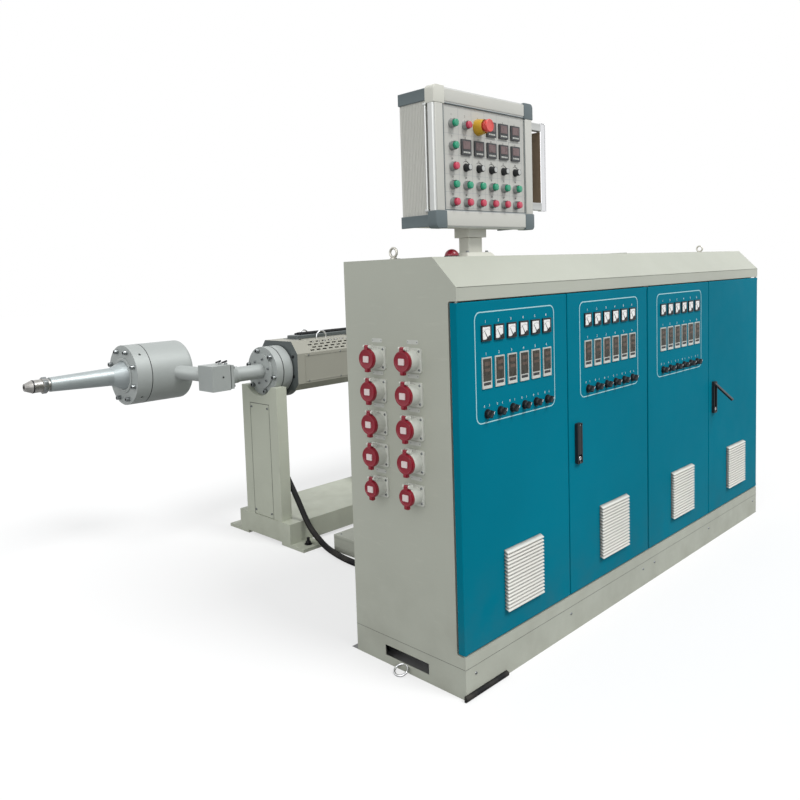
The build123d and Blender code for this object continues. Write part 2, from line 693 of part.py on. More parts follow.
def door_leaf(number):
    """Folded door with return flanges, hinge lugs and the cut-outs for what it carries."""
    left, right = door_limits(number)
    pin_x = hinge_x(number)
    pin_y = CABINET_Y + HINGE_INSET
    back = facing_doors(CABINET_Y + DOOR_DEPTH)
    with BuildPart() as leaf:
        add_box((left, right), (CABINET_Y, CABINET_Y + DOOR_DEPTH), (DOOR_BOTTOM, DOOR_TOP))
        fillet(leaf.faces().sort_by(Axis.Y)[0].edges(), radius=DOOR_BEND_R)
        add_box((left + DOOR_SHEET, right - DOOR_SHEET),
                (CABINET_Y + DOOR_SHEET, CABINET_Y + DOOR_DEPTH),
                (DOOR_BOTTOM + DOOR_SHEET, DOOR_TOP - DOOR_SHEET), mode=Mode.SUBTRACT)
        for lug_bottom in (DOOR_BOTTOM, DOOR_TOP - HINGE_LUG):
            add_box((pin_x - HINGE_INSET, pin_x + HINGE_INSET),
                    (CABINET_Y, pin_y + HINGE_INSET), (lug_bottom, lug_bottom + HINGE_LUG))
        with BuildSketch(back):
            if number in INSTRUMENT_DOORS:
                for x in instrument_x(number):
                    with Locations((x, AMMETER_Z)):
                        Rectangle(AMMETER_CUTOUT, AMMETER_CUTOUT)
                    with Locations((x, CONTROLLER_Z)):
                        Rectangle(AMMETER_CUTOUT, CONTROLLER_CUTOUT)
                    with Locations((x, SELECTOR_Z)):
                        Circle(SELECTOR_CUTOUT_R)
            with Locations((cover_x(number), COVER_Z)):
                Rectangle(COVER_CUTOUT, COVER_CUTOUT)
        extrude(amount=DOOR_DEPTH, mode=Mode.SUBTRACT)
        for pin_end in (DOOR_BOTTOM, DOOR_TOP):
            with Locations((pin_x, pin_y, pin_end)):
                Cylinder(HINGE_PIN_R + HINGE_PIN_FIT, 2 * HINGE_BORE_DEPTH, mode=Mode.SUBTRACT)
    return leaf.part


def door_instruments(number):
    """Ammeters over controllers over selector knobs, each with its body behind the door skin."""
    columns = instrument_x(number)
    ammeters = [(x, AMMETER_Z) for x in columns]
    controllers = [(x, CONTROLLER_Z) for x in columns]
    selectors = [(x, SELECTOR_Z) for x in columns]
    front = facing_doors(CABINET_Y)
    with BuildPart() as instruments:
        for places, height, cutout, proud, back in (
            (ammeters, AMMETER_SIDE, AMMETER_CUTOUT, AMMETER_PROUD, AMMETER_BACK),
            (controllers, CONTROLLER_HEIGHT, CONTROLLER_CUTOUT, CONTROLLER_PROUD, CONTROLLER_BACK),
        ):
            with BuildSketch(front):
                with Locations(*places):
                    Rectangle(AMMETER_SIDE, height)
            extrude(amount=proud)
            with BuildSketch(front):
                with Locations(*places):
                    Rectangle(AMMETER_CUTOUT - 2 * CUTOUT_FIT, cutout - 2 * CUTOUT_FIT)
            extrude(amount=-back)
        with BuildSketch(front):
            with Locations(*selectors):
                Circle(SELECTOR_RING_R)
        extrude(amount=SELECTOR_RING_PROUD)
        with BuildSketch(front):
            with Locations(*selectors):
                Circle(SELECTOR_CUTOUT_R - CUTOUT_FIT)
        extrude(amount=-SELECTOR_BACK)
        with BuildSketch(front):
            with Locations(*selectors):
                Circle(SELECTOR_KNOB_R)
        extrude(amount=SELECTOR_KNOB_PROUD)
        with BuildSketch(front):
            with Locations(*selectors):
                Rectangle(SELECTOR_GRIP_WIDTH, 2 * SELECTOR_KNOB_R)
        extrude(amount=SELECTOR_PROUD)
    return instruments.part


def filter_cover(number):
    """Louvred cover clipped into the door, with its filter box behind."""
    x = cover_x(number)
    slat_pitch = (COVER_HEIGHT - 2 * COVER_RIM) / SLAT_COUNT
    cover_bottom_z = COVER_Z - COVER_HEIGHT / 2
    with BuildPart() as cover:
        with BuildSketch(Plane(origin=(x - COVER_WIDTH / 2, CABINET_Y, cover_bottom_z),
                               x_dir=(0, -1, 0), z_dir=(-1, 0, 0))):
            with BuildLine():
                profile = [(-COVER_BACK, 0), (COVER_PLATE, 0), (COVER_PLATE, COVER_RIM)]
                for slat in range(SLAT_COUNT):
                    foot_z = COVER_RIM + slat * slat_pitch
                    profile += [
                        (COVER_PROUD, foot_z),
                        (COVER_PROUD, foot_z + SLAT_LIP),
                        (COVER_PLATE, foot_z + slat_pitch),
                    ]
                profile += [(COVER_PLATE, COVER_HEIGHT), (-COVER_BACK, COVER_HEIGHT)]
                Polyline(*profile, close=True)
            make_face()
        extrude(amount=-COVER_WIDTH)
        with BuildSketch(facing_doors(CABINET_Y)):
            with Locations((x, COVER_Z)):
                Rectangle(2 * COVER_WIDTH, 2 * COVER_HEIGHT)
                Rectangle(COVER_CUTOUT - 2 * CUTOUT_FIT, COVER_CUTOUT - 2 * CUTOUT_FIT,
                          mode=Mode.SUBTRACT)
        extrude(amount=-COVER_BACK, mode=Mode.SUBTRACT)
    return cover.part


def handle_body(number):
    """Recessed handle plate with the lever's pivot pin across it."""
    x = handle_x(number)
    middle_z = (HANDLE_BOTTOM + HANDLE_TOP) / 2
    recess_height = HANDLE_TOP - HANDLE_BOTTOM - 2 * (HANDLE_PROUD - HANDLE_RECESS)
    with BuildPart() as body:
        with BuildSketch(facing_doors(CABINET_Y)):
            with Locations((x, middle_z)):
                RectangleRounded(HANDLE_WIDTH, HANDLE_TOP - HANDLE_BOTTOM, HANDLE_WIDTH / 8)
        extrude(amount=HANDLE_PROUD)
        with BuildSketch(facing_doors(CABINET_Y - HANDLE_PROUD)):
            with Locations((x, middle_z)):
                Rectangle(HANDLE_RECESS_WIDTH, recess_height)
        extrude(amount=-HANDLE_RECESS, mode=Mode.SUBTRACT)
        with Locations(Plane(origin=(x, CABINET_Y - LEVER_PIVOT_PROUD, LEVER_PIVOT_Z),
                             z_dir=(1, 0, 0))):
            Cylinder(LEVER_PIN_R, HANDLE_RECESS_WIDTH)
    return body.part


def handle_lever(number):
    """Lever that lifts out of the handle plate about a pin at its top."""
    x = handle_x(number)
    angle = radians(LEVER_REST_ANGLE[number])
    reach = LEVER_LENGTH - LEVER_END_R
    with BuildPart() as lever:
        with BuildSketch(Plane(origin=(x - LEVER_WIDTH / 2, CABINET_Y - LEVER_PIVOT_PROUD,
                                       LEVER_PIVOT_Z), x_dir=(0, 1, 0), z_dir=(1, 0, 0))):
            with Locations((-sin(angle) * reach / 2, -cos(angle) * reach / 2)):
                SlotCenterToCenter(reach, LEVER_THICKNESS, rotation=90 - degrees(angle))
            Circle(LEVER_PIN_R + LEVER_PIN_FIT, mode=Mode.SUBTRACT)
        extrude(amount=LEVER_WIDTH)
    return lever.part


for number in DOOR_NUMBERS:
    save(door_leaf(number), f"door_{number}")
    save(filter_cover(number), f"door_{number}_filter_cover")
for number in INSTRUMENT_DOORS:
    save(door_instruments(number), f"door_{number}_instruments")
for number in HANDLE_X:
    save(handle_body(number), f"door_{number}_handle_plate")
    save(handle_lever(number), f"door_{number}_handle_lever")

# Operator box on its neck
neck_x = CABINET_X + NECK_X
neck_y = CABINET_Y + NECK_Y
neck_post_top = CABINET_HEIGHT + NECK_POST_TOP

with BuildPart() as neck_base:
    with BuildSketch(Plane.XY.offset(CABINET_HEIGHT)):
        with Locations((neck_x, neck_y)):
            RectangleRounded(NECK_FOOT_WIDTH, NECK_FOOT_DEPTH, NECK_CORNER_R)
    extrude(amount=NECK_FOOT_HEIGHT, taper=NECK_FOOT_TAPER)
    with BuildSketch(Plane.XY.offset(CABINET_HEIGHT)):
        with Locations((neck_x, neck_y)):
            RectangleRounded(NECK_POST_WIDTH, NECK_POST_DEPTH, NECK_CORNER_R)
    extrude(amount=NECK_POST_TOP)
    with Locations((neck_x, neck_y, neck_post_top)):
        Hole(NECK_SPIGOT_R + NECK_SPIGOT_FIT, NECK_SPIGOT_DEPTH + NECK_GAP)
save(neck_base.part, "neck_base")

with BuildPart() as neck_head:
    head_bottom = neck_post_top + NECK_GAP
    with BuildSketch(Plane.XY.offset(head_bottom)):
        with Locations((neck_x, neck_y)):
            RectangleRounded(NECK_HEAD_WIDTH, NECK_HEAD_DEPTH, NECK_CORNER_R)
    extrude(amount=BOX_BOTTOM + BOX_BODY_INSET - head_bottom)
    with BuildSketch(Plane.XY.offset(head_bottom)):
        with Locations((neck_x, neck_y)):
            Circle(NECK_SPIGOT_R)
    extrude(amount=-NECK_SPIGOT_DEPTH)
save(neck_head.part, "neck_head")

box_left = CABINET_X + BOX_LEFT
box_right = box_left + BOX_WIDTH
box_front = CABINET_Y + BOX_FRONT
box_back = box_front + BOX_DEPTH
box_middle = ((box_left + box_right) / 2, BOX_BOTTOM + BOX_HEIGHT / 2)

with BuildPart() as operator_box:
    with BuildSketch(facing_doors(box_back)):
        with Locations(box_middle):
            RectangleRounded(BOX_WIDTH - 2 * BOX_BODY_INSET, BOX_HEIGHT - 2 * BOX_BODY_INSET,
                             BOX_CORNER_R)
    extrude(amount=BOX_DEPTH - BOX_FRAME_DEPTH)
save(operator_box.part, "operator_box")

screen_middle = (box_left + SCREEN_LEFT + SCREEN_WIDTH / 2,
                 BOX_BOTTOM + SCREEN_BOTTOM + SCREEN_HEIGHT / 2)
with BuildPart() as operator_frame:
    with BuildSketch(facing_doors(box_front + BOX_FRAME_DEPTH)):
        with Locations(box_middle):
            RectangleRounded(BOX_WIDTH, BOX_HEIGHT, BOX_CORNER_R)
        with Locations(screen_middle):
            Rectangle(SCREEN_WIDTH, SCREEN_HEIGHT, mode=Mode.SUBTRACT)
    extrude(amount=BOX_FRAME_DEPTH)
    frame_face = operator_frame.faces().sort_by(Axis.Y)[0]
    fillet(frame_face.outer_wire().edges(), radius=BOX_FRAME_ROUND)
save(operator_frame.part, "operator_frame")

screen_front = box_front + SCREEN_RECESS
with BuildPart() as operator_panel:
    with BuildSketch(facing_doors(box_front + BOX_FRAME_DEPTH)):
        with Locations(screen_middle):
            Rectangle(SCREEN_WIDTH, SCREEN_HEIGHT)
    extrude(amount=BOX_FRAME_DEPTH - SCREEN_RECESS)
save(operator_panel.part, "operator_panel")


def control_place(column, row):
    """Centre of a control, columns from the left and rows from the top."""
    return (box_left + SCREEN_LEFT + CONTROL_FIRST + column * CONTROL_PITCH,
            BOX_BOTTOM + SCREEN_BOTTOM + SCREEN_HEIGHT - CONTROL_DROPS[row])


BUTTON_PLACES = ([(0, 0), (1, 0), (0, 1), (0, 2)]
                 + [(column, row) for row in (3, 4) for column in range(CONTROL_COLUMNS)])
DISPLAY_PLACES = [(3, 0), (4, 0), (5, 0)] + [(column, 1) for column in range(1, CONTROL_COLUMNS)]
DIAL_PLACES = [(column, 2) for column in range(1, CONTROL_COLUMNS)]
STOP_PLACE = (2, 0)

with BuildPart() as operator_controls:
    controls_plane = facing_doors(screen_front)
    with BuildSketch(controls_plane):
        with Locations(*[control_place(*place) for place in BUTTON_PLACES]):
            Circle(BUTTON_R)
    extrude(amount=BUTTON_PROUD)
    with BuildSketch(controls_plane):
        with Locations(*[control_place(*place) for place in DISPLAY_PLACES]):
            Rectangle(DISPLAY_SIDE, DISPLAY_SIDE)
    extrude(amount=DISPLAY_PROUD)
    with BuildSketch(controls_plane):
        with Locations(*[control_place(*place) for place in DIAL_PLACES]):
            Circle(DIAL_R)
    extrude(amount=DIAL_PROUD)
    with BuildSketch(controls_plane):
        with Locations(control_place(*STOP_PLACE)):
            Circle(STOP_COLLAR_R)
    extrude(amount=STOP_COLLAR_PROUD, taper=STOP_COLLAR_TAPER)
    with BuildSketch(controls_plane):
        with Locations(control_place(*STOP_PLACE)):
            Circle(STOP_NECK_R)
    extrude(amount=STOP_PROUD)
    with BuildSketch(facing_doors(screen_front - STOP_HEAD_BACK)):
        with Locations(control_place(*STOP_PLACE)):
            Circle(STOP_HEAD_R)
    extrude(amount=STOP_PROUD - STOP_HEAD_BACK)
save(operator_controls.part, "operator_controls")

with BuildPart() as operator_grip:
    grip_y = box_front + BOX_FRAME_DEPTH / 2
    grip_low = BOX_BOTTOM + GRIP_BOTTOM + GRIP_BAR / 2
    grip_high = BOX_BOTTOM + GRIP_TOP - GRIP_BAR / 2
    grip_x = box_right + GRIP_REACH - GRIP_BAR / 2
    with BuildLine(facing_doors(grip_y)) as grip_path:
        FilletPolyline((box_right, grip_low), (grip_x, grip_low), (grip_x, grip_high),
                       (box_right, grip_high), radius=GRIP_BEND_R)
    with BuildSketch(facing_screw(box_right, grip_y, grip_low)):
        grip_section = Rectangle(BOX_FRAME_DEPTH - 2, GRIP_BAR)
        chamfer(grip_section.vertices(), GRIP_CORNER)
    sweep(path=grip_path.line)
save(operator_grip.part, "operator_grip")

# Stations along the screw
joint_x = CABINET_X + JOINT_FROM_CABINET_END
adapter_disc_right = joint_x - SEAL_GAP / 2
adapter_disc_left = adapter_disc_right - ADAPTER_DISC_LENGTH
adapter_hub_left = adapter_disc_left - ADAPTER_HUB_LENGTH
adapter_pipe_left = adapter_hub_left - ADAPTER_PIPE_LENGTH
barrel_disc_left = joint_x + SEAL_GAP / 2
barrel_disc_right = barrel_disc_left + BARREL_DISC_LENGTH
end_plate_left = barrel_disc_right + COVER_START_GAP
cover_left = end_plate_left + END_PLATE_LENGTH
cover_right = cover_left + BARREL_COVER_LENGTH
cover_middle = (cover_left + cover_right) / 2
throat_right = cover_right + THROAT_LENGTH
gearbox_right = throat_right + GEARBOX_LENGTH
motor_left = gearbox_right + COUPLING_LENGTH
motor_right = motor_left + MOTOR_LENGTH


def turned(points, y=SCREW_Y, z=SCREW_Z):
    """Solid of revolution about a line along X: points are (x, radius) pairs from left to right."""
    first_x = points[0][0]
    last_x = points[-1][0]
    with BuildPart() as piece:
        with BuildSketch(along_screw(y, z)):
            with BuildLine():
                Polyline((first_x, 0), *points, (last_x, 0), close=True)
            make_face()
        revolve(axis=Axis((0, y, z), (1, 0, 0)))
    return piece.part


save(turned([
    (adapter_pipe_left, ADAPTER_PIPE_R),
    (adapter_hub_left, ADAPTER_PIPE_R),
    (adapter_hub_left, ADAPTER_HUB_R),
    (adapter_disc_left, ADAPTER_HUB_R),
    (adapter_disc_left, ADAPTER_DISC_R),
    (adapter_disc_right, ADAPTER_DISC_R),
]), "adapter_flange")

save(turned([
    (adapter_disc_right, SEAL_RING_R),
    (barrel_disc_left, SEAL_RING_R),
    (barrel_disc_left, ADAPTER_DISC_R),
    (barrel_disc_right, ADAPTER_DISC_R),
    (barrel_disc_right, BARREL_R),
    (cover_right, BARREL_R),
]), "barrel")

collar_left = adapter_pipe_left - BLOCK_COLLAR_LENGTH
cone_left = collar_left - BLOCK_CONE_LENGTH
plate_left = cone_left - BLOCK_PLATE_LENGTH
block_right = plate_left - BLOCK_SEAM
block_left = block_right - BLOCK_LENGTH
block_middle = (block_left + block_right) / 2
with BuildPart() as adapter_block:
    add_box((block_left, block_right), (SCREW_Y - BLOCK_WIDTH / 2, SCREW_Y + BLOCK_WIDTH / 2),
            (SCREW_Z - BLOCK_HEIGHT / 2, SCREW_Z + BLOCK_HEIGHT / 2))
    with BuildSketch(facing_screw(block_right)):
        Circle(BLOCK_NECK_R)
    extrude(amount=BLOCK_SEAM)
    with BuildSketch(facing_screw(plate_left)):
        Rectangle(BLOCK_PLATE_SIDE, BLOCK_PLATE_SIDE)
    extrude(amount=BLOCK_PLATE_LENGTH)
    with BuildSketch(along_screw()):
        with BuildLine():
            Polyline((cone_left, 0), (cone_left, BLOCK_CONE_R), (collar_left, BLOCK_COLLAR_R),
                     (adapter_pipe_left, BLOCK_COLLAR_R), (adapter_pipe_left, 0), close=True)
        make_face()
    revolve(axis=Axis((0, SCREW_Y, SCREW_Z), (1, 0, 0)))
    with Locations(Plane(origin=(block_left + BLOCK_HOLE_FROM_LEFT, SCREW_Y - BLOCK_WIDTH / 2,
                                 SCREW_Z + BLOCK_HOLE_RISE), z_dir=(0, -1, 0))):
        Hole(BLOCK_HOLE_R, BLOCK_HOLE_DEPTH)
save(adapter_block.part, "adapter_block")

die_y = SCREW_Y + DIE_OFFSET_Y
die_z = SCREW_Z + DIE_RISE
nozzle_lengths = (NOZZLE_END_LENGTH, NOZZLE_TIP_LENGTH, NOZZLE_NUT_LENGTH, NOZZLE_GROOVE_LENGTH,
                  NOZZLE_TAPER_LENGTH, NOZZLE_FLARE_LENGTH)
nozzle_tip = CABINET_X - NOZZLE_OVERHANG
nozzle_root = nozzle_tip + sum(nozzle_lengths)
die_flange_right = nozzle_root + DIE_FLANGE_LENGTH
die_body_left = die_flange_right + DIE_SEAM

block_back = SCREW_Y + BLOCK_WIDTH / 2
bend_start = Vector(block_middle, block_back, SCREW_Z + BEND_RISE)
bend_end = Vector(block_middle + BEND_DRIFT, die_y, die_z + BEND_END_RISE)
with BuildPart() as feed_bend:
    with BuildSketch(Plane(origin=bend_start, z_dir=(0, 1, 0))):
        Circle(BEND_COLLAR_R)
    extrude(amount=BEND_COLLAR_LENGTH, taper=BEND_COLLAR_TAPER)
    with BuildSketch(Plane(origin=bend_start, z_dir=bend_end - bend_start)):
        Circle(BEND_PIPE_R)
    extrude(amount=(bend_end - bend_start).length)
    with Locations(Plane(origin=(die_body_left, die_y, die_z), z_dir=(1, 0, 0))):
        Cylinder(DIE_R, DIE_BODY_LENGTH, align=(Align.CENTER, Align.CENTER, Align.MIN),
                 mode=Mode.SUBTRACT)
    add_box((block_left, block_right), (SCREW_Y - BLOCK_WIDTH / 2, block_back),
            (SCREW_Z - BLOCK_HEIGHT, SCREW_Z + BLOCK_HEIGHT), mode=Mode.SUBTRACT)
save(feed_bend.part, "feed_bend")

with BuildPart() as die_body:
    with BuildSketch(facing_screw(die_body_left, die_y, die_z)):
        Circle(DIE_R)
    extrude(amount=DIE_BODY_LENGTH)
    fillet(die_body.edges().sort_by(Axis.X)[-1], radius=DIE_BACK_ROUND)
save(die_body.part, "die_body")

with BuildPart() as die_flange:
    with BuildSketch(facing_screw(nozzle_root, die_y, die_z)):
        Circle(DIE_R)
    extrude(amount=DIE_FLANGE_LENGTH)
    with BuildSketch(facing_screw(die_flange_right, die_y, die_z)):
        Circle(DIE_SPIGOT_R)
    extrude(amount=DIE_SEAM)
    hole_plane = facing_screw(nozzle_root + DIE_FLANGE_LENGTH / 2, die_y, die_z)
    for index in range(DIE_HOLE_COUNT):
        angle = 2 * pi * (index + 0.5) / DIE_HOLE_COUNT
        outwards = hole_plane.x_dir * cos(angle) + hole_plane.y_dir * sin(angle)
        with Locations(Plane(origin=hole_plane.origin + outwards * DIE_R, z_dir=outwards)):
            Cylinder(DIE_HOLE_R, 2 * DIE_HOLE_DEPTH, mode=Mode.SUBTRACT)
save(die_flange.part, "die_flange")

nozzle_x = [nozzle_tip]
for length in nozzle_lengths:
    nozzle_x.append(nozzle_x[-1] + length)
with BuildPart() as die_nozzle:
    with BuildSketch(along_screw(die_y, die_z)):
        with BuildLine():
            Polyline(
                (nozzle_tip, 0),
                (nozzle_tip, NOZZLE_END_R),
                (nozzle_x[1], NOZZLE_TIP_R),
                (nozzle_x[2], NOZZLE_TIP_R),
                (nozzle_x[2], NOZZLE_NUT_R),
                (nozzle_x[3], NOZZLE_NUT_R),
                (nozzle_x[3], NOZZLE_GROOVE_R),
                (nozzle_x[4], NOZZLE_GROOVE_R),
                (nozzle_x[4], NOZZLE_FRONT_R),
                (nozzle_x[5], NOZZLE_NECK_R),
                (nozzle_x[6], NOZZLE_ROOT_R),
                (nozzle_x[6], 0),
                close=True,
            )
        make_face()
    revolve(axis=Axis((0, die_y, die_z), (1, 0, 0)))
    with Locations(Plane(origin=(nozzle_tip, die_y, die_z), z_dir=(1, 0, 0))):
        Cylinder(NOZZLE_BORE_R, NOZZLE_BORE_DEPTH,
                 align=(Align.CENTER, Align.CENTER, Align.MIN), mode=Mode.SUBTRACT)
save(die_nozzle.part, "die_nozzle")


def cover_outline():
    """Eight-sided outline of the barrel cover, across the screw."""
    half_outline = [
        (BARREL_COVER_TOP_HALF_WIDTH, BARREL_COVER_TOP),
        (BARREL_COVER_HALF_WIDTH, BARREL_COVER_SHOULDER),
        (BARREL_COVER_HALF_WIDTH, BARREL_COVER_WAIST),
        (BARREL_COVER_BOTTOM_HALF_WIDTH, BARREL_COVER_BOTTOM),
    ]
    return half_outline + [(-across, up) for across, up in reversed(half_outline)]


with BuildPart() as cover_end_plate:
    with BuildSketch(facing_screw(end_plate_left)):
        with BuildLine():
            Polyline(*cover_outline(), close=True)
        make_face()
        with Locations((0, END_PLATE_CHIN + BARREL_COVER_BOTTOM_HALF_WIDTH)):
            Circle(BARREL_COVER_BOTTOM_HALF_WIDTH)
        Circle(BARREL_R + COLUMN_SADDLE_FIT, mode=Mode.SUBTRACT)
    extrude(amount=END_PLATE_LENGTH)
save(cover_end_plate.part, "cover_end_plate")

with BuildPart() as barrel_cover:
    with BuildSketch(facing_screw(cover_left)):
        with BuildLine():
            Polyline(*cover_outline(), close=True)
        make_face()
        offset(amount=-BARREL_COVER_SHEET, mode=Mode.SUBTRACT)
    extrude(amount=BARREL_COVER_LENGTH)
    with BuildSketch(facing_screw(cover_right)):
        with BuildLine():
            Polyline(*cover_outline(), close=True)
        make_face()
        Circle(BARREL_R + COLUMN_SADDLE_FIT, mode=Mode.SUBTRACT)
    extrude(amount=-BARREL_COVER_SHEET)
    for side in (-1, 1):
        across = BARREL_COVER_HALF_WIDTH - BARREL_COVER_TOP_HALF_WIDTH
        down = BARREL_COVER_TOP - BARREL_COVER_SHOULDER
        shoulder_plane = Plane(
            origin=(cover_middle,
                    SCREW_Y + side * (BARREL_COVER_HALF_WIDTH + BARREL_COVER_TOP_HALF_WIDTH) / 2,
                    SCREW_Z + (BARREL_COVER_TOP + BARREL_COVER_SHOULDER) / 2),
            x_dir=(1, 0, 0), z_dir=(0, side * down, across))
        slot_columns = int((BARREL_COVER_LENGTH - 2 * COVER_SLOT_END_GAP) // COVER_SLOT_PITCH)
        with BuildSketch(shoulder_plane):
            for shift_x, shift_up in ((-0.25, -0.5), (0.25, 0.5)):
                with Locations((shift_x * COVER_SLOT_PITCH, shift_up * COVER_SLOT_ROW_PITCH)):
                    with GridLocations(COVER_SLOT_PITCH, 2 * COVER_SLOT_ROW_PITCH, slot_columns, 2):
                        Rectangle(COVER_SLOT_LENGTH, COVER_SLOT_HEIGHT)
        extrude(amount=-2 * BARREL_COVER_SHEET, mode=Mode.SUBTRACT)
        border_length = BARREL_COVER_LENGTH - 2 * COVER_BORDER_INSET
        border_height = BARREL_COVER_SHOULDER - BARREL_COVER_WAIST - 2 * COVER_BORDER_INSET
        with BuildSketch(facing_doors(SCREW_Y + side * BARREL_COVER_HALF_WIDTH)):
            with Locations((cover_middle,
                            SCREW_Z + (BARREL_COVER_SHOULDER + BARREL_COVER_WAIST) / 2)):
                Rectangle(border_length, border_height)
                Rectangle(border_length - 2 * COVER_BORDER_WIDTH,
                          border_height - 2 * COVER_BORDER_WIDTH, mode=Mode.SUBTRACT)
        extrude(amount=-side * COVER_BORDER_PROUD)
save(barrel_cover.part, "barrel_cover")

with BuildPart() as cooling_blowers:
    cover_bottom = SCREW_Z + BARREL_COVER_BOTTOM
    blower_pitch = (BARREL_COVER_LENGTH - BLOWER_START) / BLOWER_COUNT
    for blower in range(BLOWER_COUNT):
        blower_x = cover_left + BLOWER_START + (blower + 0.5) * blower_pitch
        with Locations(Plane(origin=(blower_x, SCREW_Y, cover_bottom - BLOWER_DROP),
                             z_dir=(0, 1, 0))):
            Cylinder(BLOWER_R, BLOWER_WIDTH)
        add_box((blower_x + BLOWER_R - BLOWER_DUCT, blower_x + BLOWER_R),
                (SCREW_Y - BLOWER_WIDTH / 2, SCREW_Y + BLOWER_WIDTH / 2),
                (cover_bottom - BLOWER_DROP, cover_bottom))
save(cooling_blowers.part, "cooling_blowers")

with BuildPart() as feed_throat:
    throat_top = SCREW_Z + THROAT_FLANGE_TOP
    throat_x = (cover_right + throat_right) / 2
    add_box((cover_right, throat_right),
            (SCREW_Y - THROAT_HALF_WIDTH, SCREW_Y + THROAT_HALF_WIDTH),
            (SCREW_Z - THROAT_HALF_WIDTH, SCREW_Z + THROAT_HALF_WIDTH))
    with BuildSketch(Plane.XY.offset(SCREW_Z)):
        with Locations((throat_x, SCREW_Y)):
            Circle(THROAT_BORE_R + THROAT_FLANGE_THICKNESS)
    extrude(amount=THROAT_FLANGE_TOP)
    with BuildSketch(Plane.XY.offset(throat_top - THROAT_FLANGE_THICKNESS)):
        with Locations((throat_x, SCREW_Y)):
            RectangleRounded(THROAT_FLANGE, THROAT_FLANGE, THROAT_FLANGE / 20)
            with GridLocations(THROAT_BOLT_SPACING, THROAT_BOLT_SPACING, 2, 2):
                Circle(THROAT_BOLT_R, mode=Mode.SUBTRACT)
    extrude(amount=THROAT_FLANGE_THICKNESS)
    with Locations((throat_x, SCREW_Y, throat_top)):
        Hole(THROAT_BORE_R, THROAT_FLANGE_TOP)
save(feed_throat.part, "feed_throat")

with BuildPart() as gearbox:
    with BuildSketch(facing_screw(throat_right)):
        with BuildLine():
            Polyline(
                (-GEARBOX_HALF_WIDTH, GEARBOX_BOTTOM),
                (GEARBOX_HALF_WIDTH, GEARBOX_BOTTOM),
                (GEARBOX_HALF_WIDTH, GEARBOX_SHOULDER),
                (GEARBOX_TOP_HALF_WIDTH, GEARBOX_TOP),
                (-GEARBOX_TOP_HALF_WIDTH, GEARBOX_TOP),
                (-GEARBOX_HALF_WIDTH, GEARBOX_SHOULDER),
                close=True,
            )
        make_face()
    extrude(amount=GEARBOX_LENGTH)
    add_box((throat_right, gearbox_right),
            (SCREW_Y - GEARBOX_HALF_WIDTH - GEARBOX_FLANGE_PROUD,
             SCREW_Y + GEARBOX_HALF_WIDTH + GEARBOX_FLANGE_PROUD),
            (SCREW_Z - GEARBOX_FLANGE_HALF_HEIGHT, SCREW_Z + GEARBOX_FLANGE_HALF_HEIGHT))
    add_box((throat_right + GEARBOX_LID_MARGIN, gearbox_right - GEARBOX_LID_MARGIN),
            (SCREW_Y - GEARBOX_LID_MARGIN, SCREW_Y + GEARBOX_LID_MARGIN),
            (SCREW_Z + GEARBOX_TOP, SCREW_Z + GEARBOX_TOP + GEARBOX_LID_HEIGHT))
save(gearbox.part, "gearbox")

with BuildPart() as motor:
    with BuildSketch(facing_screw(motor_left)):
        Circle(MOTOR_R)
    extrude(amount=MOTOR_LENGTH)
    with BuildSketch(facing_screw(motor_left)):
        Circle(MOTOR_SHAFT_R)
    extrude(amount=-COUPLING_LENGTH)
    add_box((motor_left + MOTOR_FOOT_END_GAP, motor_right - 2 * MOTOR_FOOT_END_GAP),
            (SCREW_Y - MOTOR_FOOT_HALF_SPAN, SCREW_Y + MOTOR_FOOT_HALF_SPAN),
            (SCREW_Z + GEARBOX_BOTTOM, SCREW_Z + GEARBOX_BOTTOM + MOTOR_FOOT_HEIGHT))
    add_box((motor_left + MOTOR_FOOT_END_GAP, motor_right - 2 * MOTOR_FOOT_END_GAP),
            (SCREW_Y - MOTOR_FOOT_HALF_SPAN / 2, SCREW_Y + MOTOR_FOOT_HALF_SPAN / 2),
            (SCREW_Z + GEARBOX_BOTTOM, SCREW_Z))
    add_box((motor_left + MOTOR_FOOT_END_GAP, motor_left + MOTOR_FOOT_END_GAP + MOTOR_BOX_SIDE),
            (SCREW_Y - MOTOR_BOX_SIDE / 2, SCREW_Y + MOTOR_BOX_SIDE / 2),
            (SCREW_Z, SCREW_Z + MOTOR_BOX_TOP))
save(motor.part, "motor")

# Base, column and drive stand
beam_left = CABINET_X + BEAM_START
deck_right = motor_right
with BuildPart() as base_frame:
    add_box((beam_left, deck_right), (SCREW_Y - DECK_HALF_WIDTH, SCREW_Y + DECK_HALF_WIDTH),
            (FOOT_THICKNESS, DECK_TOP))
    foot_middles = (beam_left + FOOT_LENGTH / 2, (beam_left + deck_right) / 2,
                    deck_right - FOOT_LENGTH / 2)
    for foot_x in foot_middles:
        for side in (-1, 1):
            foot_y = SCREW_Y + side * (FOOT_HALF_SPAN - FOOT_WIDTH / 2)
            with BuildSketch(Plane.XY):
                with Locations((foot_x, foot_y)):
                    Rectangle(FOOT_LENGTH, FOOT_WIDTH)
                with Locations((foot_x, SCREW_Y + side * (FOOT_HALF_SPAN - FOOT_HOLE_INSET))):
                    Circle(FOOT_HOLE_R, mode=Mode.SUBTRACT)
            extrude(amount=FOOT_THICKNESS)
save(base_frame.part, "base_frame")

